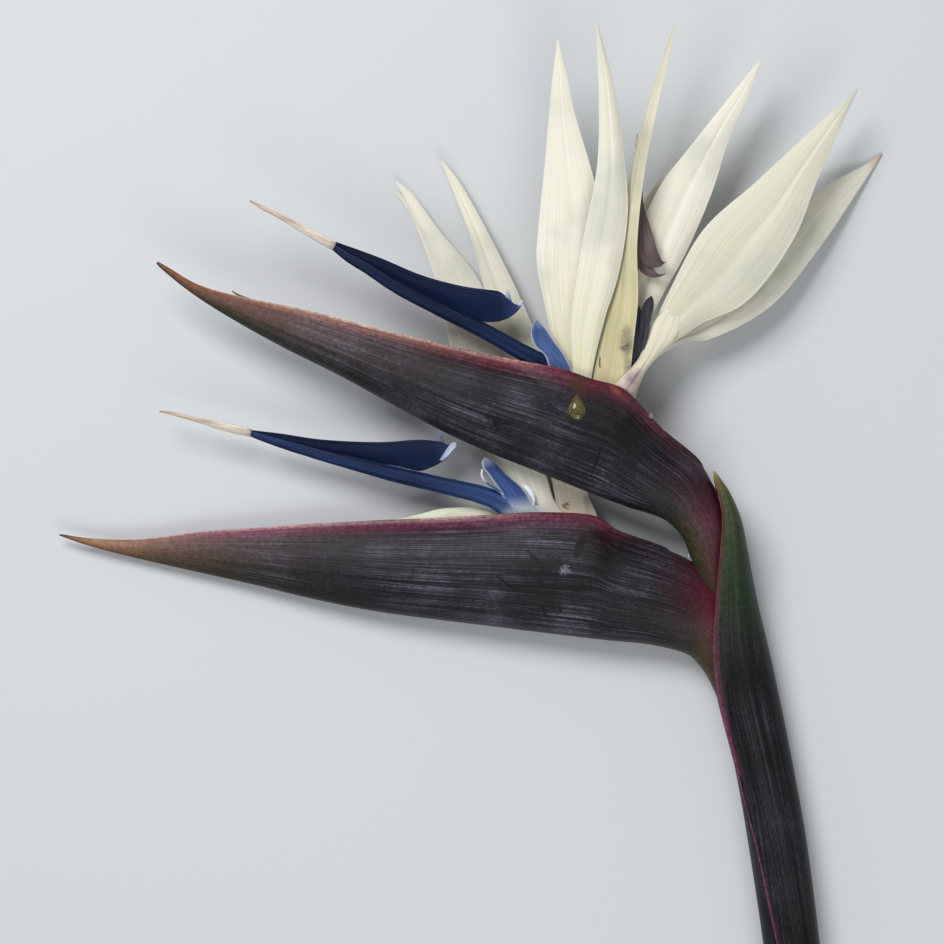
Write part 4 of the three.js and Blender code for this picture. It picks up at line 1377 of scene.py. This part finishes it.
@dataclass
class ArrowPetals:
    """The arrow petals: ridged shafts, and thin wings that end in pale barbs."""

    shaft_skins: dict[str, PetalSkin]
    wing_skins: dict[str, PetalSkin]
    barb_skin: PetalSkin
    wing: float = 0.7
    shaft_faces: Faces = (72, 120)
    wing_faces: Faces = (40, 70)
    barb_faces: Faces = (24, 24)

    def build(self) -> None:
        """Grow each arrow petal: its shaft in one mesh and its wings in another."""
        wing_finish = {kind: skin.material() for kind, skin in self.wing_skins.items()}
        barb_finish = self.barb_skin.material()
        for number, (name, arrow) in enumerate(ARROWS.items()):
            kind = "withered" if name.startswith("withered") else "fresh"
            slot = "petal_withered" if kind == "withered" else "petal_blue"
            shaft = Shaft(arrow.shaft, ridges=9, ridge=0.07, uneven=0.04, flat=0.8)
            shaft = shaft.mesh(*self.shaft_faces)
            new_piece(f"{name}_shaft", shaft, self.shaft_skins[name].material(), slot, name)
            wings = grown_blades(arrow.wings, self.wing, 20.0 + 4 * number, self.wing_faces)
            new_piece(f"{name}_wings", wings, wing_finish[kind], slot, name)
            if arrow.barbs:
                barbs = grown_blades(arrow.barbs, self.wing, 70.0 + 4 * number, self.barb_faces)
                new_piece(f"{name}_barbs", barbs, barb_finish, slot, name)


@dataclass
class SmallPetals:
    """The short curled petals at the foot of each arrow."""

    skins: dict[str, PetalSkin]
    fringe_skin: PetalSkin
    thickness: float = 0.9
    fringe_thickness: float = 0.8
    faces: Faces = (40, 60)
    fringe_faces: Faces = (24, 40)

    def build(self) -> None:
        """Grow each small petal, and the torn fringe on one of them."""
        for number, (name, blades) in enumerate(SMALL_PETALS.items()):
            petal = grown_blades(blades, self.thickness, 31.0 + 3 * number, self.faces)
            slot = "petal_withered" if name.startswith("withered") else "petal_pale_blue"
            new_piece(f"{name}_blade", petal, self.skins[name].material(), slot, name)
        fringe = grown_blades([FRINGE], self.fringe_thickness, 41.0, self.fringe_faces)
        new_piece("torn_fringe", fringe, self.fringe_skin.material(), "petal_pale_blue")


@dataclass
class Stigmas:
    """The dry, fibrous stigmas beyond the arrows' tips."""

    skin: PetalSkin
    faces: Faces = (24, 50)

    def build(self) -> None:
        """Grow each stigma."""
        material = self.skin.material()
        for name, points in STIGMAS.items():
            shaft = Shaft(points, ridges=5, ridge=0.14, uneven=0.16)
            new_piece(f"{name}_shaft", shaft.mesh(*self.faces), material, "stigma_tan", name)


@dataclass
class FlowerBases:
    """The fleshy bases of the flowers, and the claws in which their sepals meet above the mouth."""

    skin: FleshSkin
    claw_skins: dict[str, SepalSkin]
    thickness: float = 5.0
    claw_faces: Faces = (48, 60)

    def build(self) -> None:
        """Dress the bases, whose solids stay, and grow the claws."""
        material = self.skin.material()
        for name in ("lower_flower_base", "upper_flower_base_1", "upper_flower_base_2"):
            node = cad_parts[name]
            node.data.materials.clear()
            node.data.materials.append(material)
            LOG.info("%s: kept, with the finish %s", name, material.name)
        for number, (name, blade) in enumerate(CLAWS.items()):
            form = BladeForm(blade, self.thickness, 51.0 + number, taper=0.95)
            new_piece(name, form.mesh(*self.claw_faces), self.claw_skins[name].material(), "sepal_cream")


@dataclass
class NectarDrops:
    """A honey-coloured drop that runs down the upper spathe, and a small clear one."""

    skin: NectarSkin
    clear: NectarSkin
    centre: Point3 = (-82.0, 115.3, 45.5)
    radii: Point3 = (4.8, 6.7, 3.2)
    droplet: tuple[Point3, Point3] = ((-45.0, 112.0, 42.3), (1.4, 1.6, 1.4))
    sap: tuple[Point3, Point3] = ((-25.4, 41.4, 17.2), (1.0, 2.3, 1.2))
    faces: Faces = (32, 20)

    def drop(self, centre: Sequence[float], radii: Sequence[float]) -> bmesh.types.BMesh:
        """Shape one drop: a ball that narrows towards its top.

        Args:
            centre: Its centre in millimetres.
            radii: Its three radii in millimetres.

        Returns:
            The drop's form, in metres.
        """
        bm = bmesh.new()
        bmesh.ops.create_uvsphere(bm, u_segments=self.faces[0], v_segments=self.faces[1], radius=1.0)
        for vert in bm.verts:
            x, y, z = vert.co
            narrow = 1 - 0.35 * ease(-0.2, 1.0, y)
            vert.co = Vector((centre[0] + radii[0] * x * narrow, centre[1] + radii[1] * y,
                              centre[2] + radii[2] * z * narrow)) * MM
        return bm

    def build(self) -> None:
        """Shape the honey-coloured drop, the clear droplet and the sap at the neck."""
        material = self.skin.material()
        new_piece("nectar_drop_body", self.drop(self.centre, self.radii), material, "nectar", "nectar_drop")
        clear = self.clear.material()
        new_piece("nectar_droplet", self.drop(*self.droplet), clear, "nectar")
        new_piece("neck_sap", self.drop(*self.sap), clear, "nectar")


@dataclass(frozen=True)
class Lamp:
    """A soft round lamp: its place and aim in metres, its diameter in metres and power in watts."""

    name: str
    place: Point3
    aim: Point3
    size: float
    power: float

    def hang(self) -> None:
        """Hang the lamp and point it at its aim."""
        lamp = bpy.data.lights.new(self.name, "AREA")
        lamp.shape, lamp.size, lamp.energy = "DISK", self.size, self.power
        piece = bpy.data.objects.new(self.name, lamp)
        bpy.context.scene.collection.objects.link(piece)
        piece.location = self.place
        piece.rotation_euler = (Vector(self.aim) - Vector(self.place)).to_track_quat("-Z", "Y").to_euler()


@dataclass
class Studio:
    """Pale floor, soft light and a camera straight above, as the photograph was taken."""

    centre: Point = (-134.0, 84.0)
    middle: float = 25.0
    span: float = 472.0
    lens: float = 250.0
    sensor: float = 36.0
    floor_size: float = 4.0
    floor_code: str = "c9cbcd"
    sky_code: str = "dfe4ea"
    sky: float = 0.42
    lamps: Sequence[Lamp] = (Lamp("key", (-0.75, 1.05, 1.6), (-0.1, 0.1, 0.03), 0.9, 30.0),
                             Lamp("fill", (0.3, -1.1, 1.3), (-0.1, 0.05, 0.03), 1.0, 11.0))

    def floor(self) -> None:
        """Lay the floor."""
        bm = bmesh.new()
        bmesh.ops.create_grid(bm, x_segments=1, y_segments=1, size=self.floor_size)
        mesh = bpy.data.meshes.new("floor")
        bm.to_mesh(mesh)
        bm.free()
        floor = bpy.data.objects.new("floor", mesh)
        bpy.context.scene.collection.objects.link(floor)
        material, _, shader = new_finish("matt pale card")
        shader.inputs["Base Color"].default_value = colour(self.floor_code)
        shader.inputs["Roughness"].default_value = 0.9
        mesh.materials.append(material)

    def camera(self) -> None:
        """Hang the camera so far up that the flower is seen almost without perspective."""
        data = bpy.data.cameras.new("camera")
        data.lens, data.sensor_width = self.lens, self.sensor
        away = self.span * self.lens / self.sensor
        data.clip_start, data.clip_end = 0.05, 20.0
        camera = bpy.data.objects.new("camera", data)
        bpy.context.scene.collection.objects.link(camera)
        camera.location = Vector((*self.centre, self.middle + away)) * MM
        bpy.context.scene.camera = camera

    def build(self) -> None:
        """Set up the whole studio."""
        scene = bpy.context.scene
        scene.view_settings.view_transform = "Standard"
        world = bpy.data.worlds.new("soft room")
        scene.world = world
        world.use_nodes = True
        back = world.node_tree.nodes["Background"]
        back.inputs["Color"].default_value = colour(self.sky_code)
        back.inputs["Strength"].default_value = self.sky
        self.floor()
        for lamp in self.lamps:
            lamp.hang()
        self.camera()


# Finishes.

# Black-purple wax with scars and scuffs, a red rim that pales, and a tan tip; lighter towards the rims and
# darker towards the keel, in part as painted light.
LOWER_SKIN = BractSkin(
    "waxed purple bract, lower",
    high=((0.0, "641c32"), (0.16, "6c2036"), (0.25, "4a2836"), (0.55, "3c3840"), (0.7, "644c54"),
          (0.84, "86645a"), (0.93, "b2886a"), (0.985, "8a5c3c"), (1.0, "2a1a14")),
    low=((0.0, "4c3020"), (0.14, "44381f"), (0.25, "2c2a28"), (0.6, "302f33"), (0.74, "363a2a"),
         (0.86, "54442f"), (0.95, "8a5c3c"), (1.0, "2a1a14")),
    tint_and_light_share=((0.0, "f0f0f0"), (0.14, "e0e0e0"), (0.19, "b0b0b0"), (0.28, "0c0c0c"), (0.5, "101010"),
                (0.7, "6c6c6c"), (0.9, "f0f0f0")),
    rim=((0.0, "3d2430"), (0.26, "4a2834"), (0.36, "722a3e"), (0.6, "84345a"), (0.8, "a8607a"),
         (0.93, "c09a7c"), (1.0, "5a3420")),
    rim_share=((0.0, "101010"), (0.24, "303030"), (0.34, "e0e0e0"), (1.0, "ffffff")),
    lip_share=((0.0, "000000"), (0.42, "000000"), (0.52, "909090"), (0.84, "b0b0b0"), (0.9, "000000")),
    marks=(
        Mark((-96, 36, 32), (34, 20, 20), 10, "08070a", 3.6, 0.3, 0.54),
        Mark((-82, 27, 31), (30, 9, 20), -6, "060508", 2.2, 0.3, 0.48),
        Mark((-88, 35, 32), (9, 7, 18), 25, "6a6876", 1.3, 0.34, 0.48),
        Mark((-97, 17, 27), (24, 8, 18), -3, "060508", 2.4, 0.28, 0.5),
        Mark((-116.5, 28, 31), (13, 1.1, 14), -40, "050406", 3.0, 0.16, 0.34),
        Mark((-98, 14, 26), (1.2, 7, 16), 30, "050406", 3.0, 0.16, 0.32),
        Mark((-90, 16, 26), (1.0, 6, 16), 12, "050406", 3.0, 0.16, 0.32),
        Mark((-80, 47, 32), (6, 14, 18), -25, "060508", 3.8, 0.28, 0.38),
        Mark((-102, 40, 32), (18, 4, 18), -50, "060508", 3.1, 0.3, 0.4),
        Mark((-125, 30, 30), (14, 6, 18), 0, "060508", 2.4, 0.3, 0.6),
        Mark((-72, 52, 32), (12, 7, 18), 0, "1c1014", 5.0, 0.3, 0.44),
    ),
)
# The same wax, redder and stained around the mouth, with a warmer tip, and a paler, warmer upper edge towards
# the tip that is partly painted highlight.
UPPER_SKIN = BractSkin(
    "waxed purple bract, upper",
    high=((0.0, "5a1a2c"), (0.14, "641e32"), (0.24, "4c2836"), (0.32, "302c34"), (0.55, "3e3a42"),
          (0.66, "5a464d"), (0.78, "7e5a50"), (0.88, "865844"), (0.985, "94603e"), (1.0, "2c1812")),
    low=((0.0, "3e3c1e"), (0.14, "403e20"), (0.24, "2a2828"), (0.6, "2c2a30"), (0.74, "2a2e22"),
         (0.84, "363424"), (0.93, "523626"), (1.0, "2c1812")),
    tint_and_light_share=((0.0, "f0f0f0"), (0.14, "d8d8d8"), (0.27, "1c1c1c"), (0.5, "141414"), (0.7, "808080"),
                (0.88, "f0f0f0")),
    rim=((0.0, "4c2030"), (0.2, "6c2a3e"), (0.34, "702a3a"), (0.5, "8a2e48"), (0.62, "a44e58"),
         (0.78, "cc9a86"), (0.88, "b47c66"), (1.0, "6a3a28")),
    rim_share=((0.0, "505050"), (0.22, "606060"), (0.3, "c0c0c0"), (1.0, "ffffff")),
    lip_share=((0.0, "000000"), (0.52, "000000"), (0.62, "b0b0b0"), (0.86, "c8c8c8"), (0.92, "000000")),
    marks=(
        Mark((-60, 121, 40), (13, 8, 20), -30, "6c2e3c", 6.2, 0.25, 0.7),
        Mark((-63, 125, 45), (11, 4, 12), -40, "8a4630", 3.2, 0.28, 0.6),
        Mark((-81, 127, 42), (9, 12, 20), 0, "3c2812", 4.0, 0.16, 0.56),
        Mark((-72, 90, 47), (1.1, 15, 12), -19, "050406", 4.2, 0.16, 0.28),
        Mark((-68, 104, 47), (5, 6, 12), 0, "060508", 2.5, 0.3, 0.42),
        Mark((-57, 110, 46), (8, 5, 12), 20, "0a090c", 2.1, 0.34, 0.46),
        Mark((-120, 108, 46), (26, 13, 14), -25, "08070a", 3.0, 0.32, 0.54),
        Mark((-98, 118, 46), (18, 8, 14), -25, "0e0c11", 3.8, 0.34, 0.48),
    ),
)
# The darkest wax, plain, with long fine lines.
STALK_SKIN = BractSkin(
    "waxed purple stalk",
    high=((0.0, "332c33"), (0.7, "3a2c35"), (1.0, "5a2f3c")), low=((0.0, "332c33"), (1.0, "5a2f3c")),
    tint_and_light_share=((0.0, "202020"), (0.75, "303030"), (1.0, "a0a0a0")),
    rim=((0.0, "3a3138"), (1.0, "3a3138")), rim_share=((0.0, "000000"), (1.0, "000000")),
    girth=78.0, length=155.0, vein=0.41,
    dark="0b0a0d", middle="17161a", bloom="3a3840",
)
# Dark wax that turns green and then straw-coloured upwards, with a pink margin.
SHEATH_SKIN = BractSkin(
    "waxed purple sheath",
    high=((0.0, "3a3038"), (0.42, "3a3236"), (0.52, "343e2a"), (0.64, "3c4a2c"), (0.8, "54563a"),
          (0.92, "77683f"), (1.0, "b08c58")),
    low=((0.0, "262428"), (0.44, "262a26"), (0.54, "223a1e"), (0.68, "2a4222"), (0.82, "404828"),
         (0.92, "6a6238"), (1.0, "b08c58")),
    tint_and_light_share=((0.0, "202020"), (0.4, "505050"), (0.54, "c8c8c8"), (0.8, "ececec"), (1.0, "ffffff")),
    rim=((0.0, "7c4460"), (0.4, "844862"), (0.6, "7c4448"), (0.75, "6c3e3c"), (0.9, "7c5a3c"),
         (1.0, "b08c58")),
    rim_width=0.22, rim_share=((0.0, "ffffff"), (1.0, "ffffff")),
    girth=90.0, length=265.0, vein=0.43,
    dark="0a090c", middle="151418", bloom="34323a",
)
CREAM_ALONG = ((0.0, "d2c99e"), (0.16, "d9d3b4"), (0.4, "e3decb"), (1.0, "e3decc"))
# Warm cream, a little yellower at the foot.
CREAM = SepalSkin("cream sepal", CREAM_ALONG)
# The same cream, with a dry pink tip.
CREAM_PINK = SepalSkin("cream sepal, pink tip", CREAM_ALONG, tip="c08c78")
# A sepal in the shade of the others: a deeper cream with plainer veins.
CREAM_DEEP = SepalSkin(
    "cream sepal, deeper", ((0.0, "c8bf96"), (0.16, "ccc5a4"), (0.4, "d2cdb6"), (1.0, "d8d3c0")),
    bright="e2dfcf", vein_tone="a39e86")
# A sepal that is yellow-green low down, with a brown smudge, and darker all over as painted shade from the
# sepal in front of it.
CREAM_GREEN_SHADED = SepalSkin(
    "cream sepal, yellow-green foot",
    ((0.0, "beb18c"), (0.2, "bcb082"), (0.42, "cbc19a"), (0.6, "dad3bb"), (1.0, "e0dac4")),
    bright="d8d1b4", vein_tone="9c9674", shade="a9a88e", marks=(
        Mark((-57.5, 148, 44), (8, 17, 14), 0, "5c5444", 5.6, 0.18, 0.55),
        Mark((-56, 136, 43), (7, 9, 12), 0, "8c7a74", 6.2, 0.2, 0.5),
        # A thin dark line of painted shadow where upper_sepal_2 overlaps this sepal.
        Mark((-70.3, 139, 39), (1.2, 10, 8), 0, "5a4024", 1.6, 0.32, 0.38)))
# A sepal with a bruised tan foot and brown dots.
CREAM_TAN = SepalSkin(
    "cream sepal, tan foot", ((0.0, "ccb4a0"), (0.12, "d6c8b0"), (0.3, "e0d9c4"), (1.0, "e2dcc8")), marks=(
        Mark((-87, 67, 17), (8, 8, 10), 30, "7a4a28", 1.1, 0.4, 0.46),
        Mark((-76, 68, 17), (5, 14, 9), 0, "b08a84", 11.1, 0.2, 0.6)))
# The pale green edge of a sepal that has not opened.
BUD_CREAM = SepalSkin("pale green sepal edge", ((0.0, "e6e4cf"), (1.0, "cfd3ac")))
# Fleshy claws that blush pink where they leave the spathe, with a grey-mauve patch of painted shade on the
# upper claw.
CLAW_PINK = SepalSkin(
    "pinkish claws", ((0.0, "b8988c"), (0.25, "c4aca0"), (0.38, "d0c4ae"), (0.5, "d8d0b4"), (0.75, "dcd6bc"),
                      (1.0, "e0dbc8")),
    vein_tone="b09c90", bright="e0d8c4", shade="c8c2b2", width=17.0, vein=1.4, glow=0.08,
    # A grey-mauve patch of painted shade where the claw meets the foot of upper_sepal_6.
    marks=(Mark((-54, 131, 42), (7, 12, 10), -35, "7c6c74", 5.5, 0.2, 0.6),))
# Fleshy claws, nearly white.
CLAW_WHITE = SepalSkin("white claws", ((0.0, "e2dccb"), (1.0, "eeeada")), width=28.0, vein=2.3)
# Ink-blue ridges with a narrow satin light on them.
BLUE_SHAFT = PetalSkin(
    "satin blue shaft", dark="02050d", light="182c54", edge="121d36",
    along=((0.0, "20345e"), (0.2, "122042"), (0.5, "0a142c"), (1.0, "081126")), along_share=0.35,
    width=20.0, line=1.7, gloss=0.16)
# The same ridges, fading to white at the foot.
BLUE_SHAFT_PALE = PetalSkin(
    "satin blue shaft, white foot", dark="040917", light="263e6c", edge="1a2848",
    along=((0.0, "7f93b8"), (0.25, "3c5486"), (0.5, "122044"), (1.0, "0b142c")), along_share=0.4,
    width=20.0, line=1.7, foot="ccd1da", foot_end=0.2, gloss=0.16)
# The deepest blue, almost without grain, with a thin pale edge.
BLUE_WING = PetalSkin(
    "satin blue wing", dark="010612", light="051638", edge="5a6e98",
    along=((0.0, "081430"), (0.5, "031230"), (0.88, "081f44"), (0.97, "3c5284"), (1.0, "8c98b8")),
    edge_width=0.09, gloss=0.1)
# Thin lavender barbs that go white at their ends.
PALE_FRINGE = PetalSkin(
    "pale lavender barb", dark="7c8aae", light="c4cbdc", edge="e4e7ee",
    along=((0.0, "5c6c98"), (0.4, "aeb8d0"), (1.0, "dfe3ec")), along_share=0.6, width=2.4, line=0.3)
# Mid blue with a broad whitish edge on both sides.
PALE_BLUE = PetalSkin(
    "blue petal, pale edge", dark="1a2f58", light="5672a2", edge="d4dae6",
    along=((0.0, "8296b8"), (0.4, "4a6698"), (0.85, "223a68"), (1.0, "a4b0ca")), edge_width=0.24,
    both_edges=True)
# A torn white shred.
WHITE_FRINGE = PetalSkin(
    "white torn fringe", dark="b2bac8", light="e6e9ee", edge="eef0f4",
    along=((0.0, "c4ccd8"), (1.0, "eef0f4")), along_share=0.6, width=2.4, line=0.4)
# Mid blue that rises from a white foot, with whitish edges.
PALE_BLUE_WHITE = PetalSkin(
    "blue petal, white foot", dark="12244a", light="3c568a", edge="e6eaf0",
    along=((0.0, "d8d9d8"), (0.3, "98a8c6"), (0.48, "34508a"), (0.85, "1f366a"), (1.0, "dfe4ee")),
    edge_width=0.26, both_edges=True, along_share=0.5, foot="dcdad2", foot_end=0.5)
# Dull mauve-brown, dried hard.
DRY_SHAFT = PetalSkin(
    "withered mauve shaft", dark="43323a", light="7a6868", edge="6a5858",
    along=((0.0, "6a5a5c"), (1.0, "6a4a38")), roughness=0.7)
# The same mauve, darker and papery towards the tip.
DRY_WING = PetalSkin(
    "withered mauve wing", dark="36282e", light="705e5a", edge="54403f",
    along=((0.0, "74625e"), (0.7, "5e4c4e"), (1.0, "2c2024")), roughness=0.7, width=9.0, line=0.5)
# Shrivelled grey-black with a tan foot, and a grey-blue band low down that is painted sheen.
DRY_PETAL = PetalSkin(
    "withered grey petal", dark="100e14", light="44424e", edge="2c2228",
    along=((0.0, "a09088"), (0.3, "5c5e6c"), (0.55, "201e28"), (0.9, "1e1a20"), (1.0, "1c1416")),
    roughness=0.65, width=5.0, line=0.36)
# Pale straw fibres that end in brown.
STIGMA = PetalSkin(
    "dry fibrous stigma", dark="7c6450", light="ece4d6", edge="cbb9a2",
    along=((0.0, "3c2a20"), (0.03, "7c6852"), (0.1, "ddd3c4"), (0.5, "d8c6ac"), (0.9, "c0a07c"),
           (1.0, "5a3a2a")),
    roughness=0.75, width=5.0, line=0.62, relief=0.8, along_share=0.35)
# Moist off-white flesh.
FLESH = FleshSkin("moist white flower base", "cfc3b0", "f2ecdd")
# Pale green pith, freshly cut.
CUT = FleshSkin("fresh cut stalk", "a9a57e", "dedcc0", 2.4)
# Olive-gold syrup.
HONEY = NectarSkin("honey nectar", "a8903c", "ecdc94")
# Nearly colourless syrup.
CLEAR = NectarSkin("clear nectar", "dfe2e2", "fbfbf8")


def main() -> None:
    """Build the flower head and the studio."""
    logging.basicConfig(level=logging.INFO, format="%(message)s")
    Spathe("lower_spathe", LOWER_SPATHE, LOWER_SKIN, 1.0).build()
    Spathe("upper_spathe", UPPER_SPATHE, UPPER_SKIN, 2.0, DRY_SPUR, DRY_SHAFT).build()
    Stalk(STALK_SKIN, CUT).build()
    Sheath(SHEATH_SKIN).build()
    Sepals({"others": CREAM, "upper_sepal_6": CREAM_DEEP, "upper_sepal_7": CREAM_PINK,
            "upper_sepal_3": CREAM_GREEN_SHADED, "lower_sepal_3": CREAM_TAN, "bud": BUD_CREAM}).build()
    ArrowPetals({"upper_arrow": BLUE_SHAFT, "lower_arrow": BLUE_SHAFT_PALE, "withered_arrow": DRY_SHAFT},
                {"fresh": BLUE_WING, "withered": DRY_WING}, PALE_FRINGE).build()
    SmallPetals({"upper_small_petal": PALE_BLUE, "lower_small_petal": PALE_BLUE_WHITE,
                 "withered_small_petal": DRY_PETAL}, WHITE_FRINGE).build()
    Stigmas(STIGMA).build()
    FlowerBases(FLESH, {"upper_claw": CLAW_PINK, "lower_claw": CLAW_WHITE}).build()
    NectarDrops(HONEY, CLEAR).build()
    Studio().build()


if __name__ == "__main__":
    main()
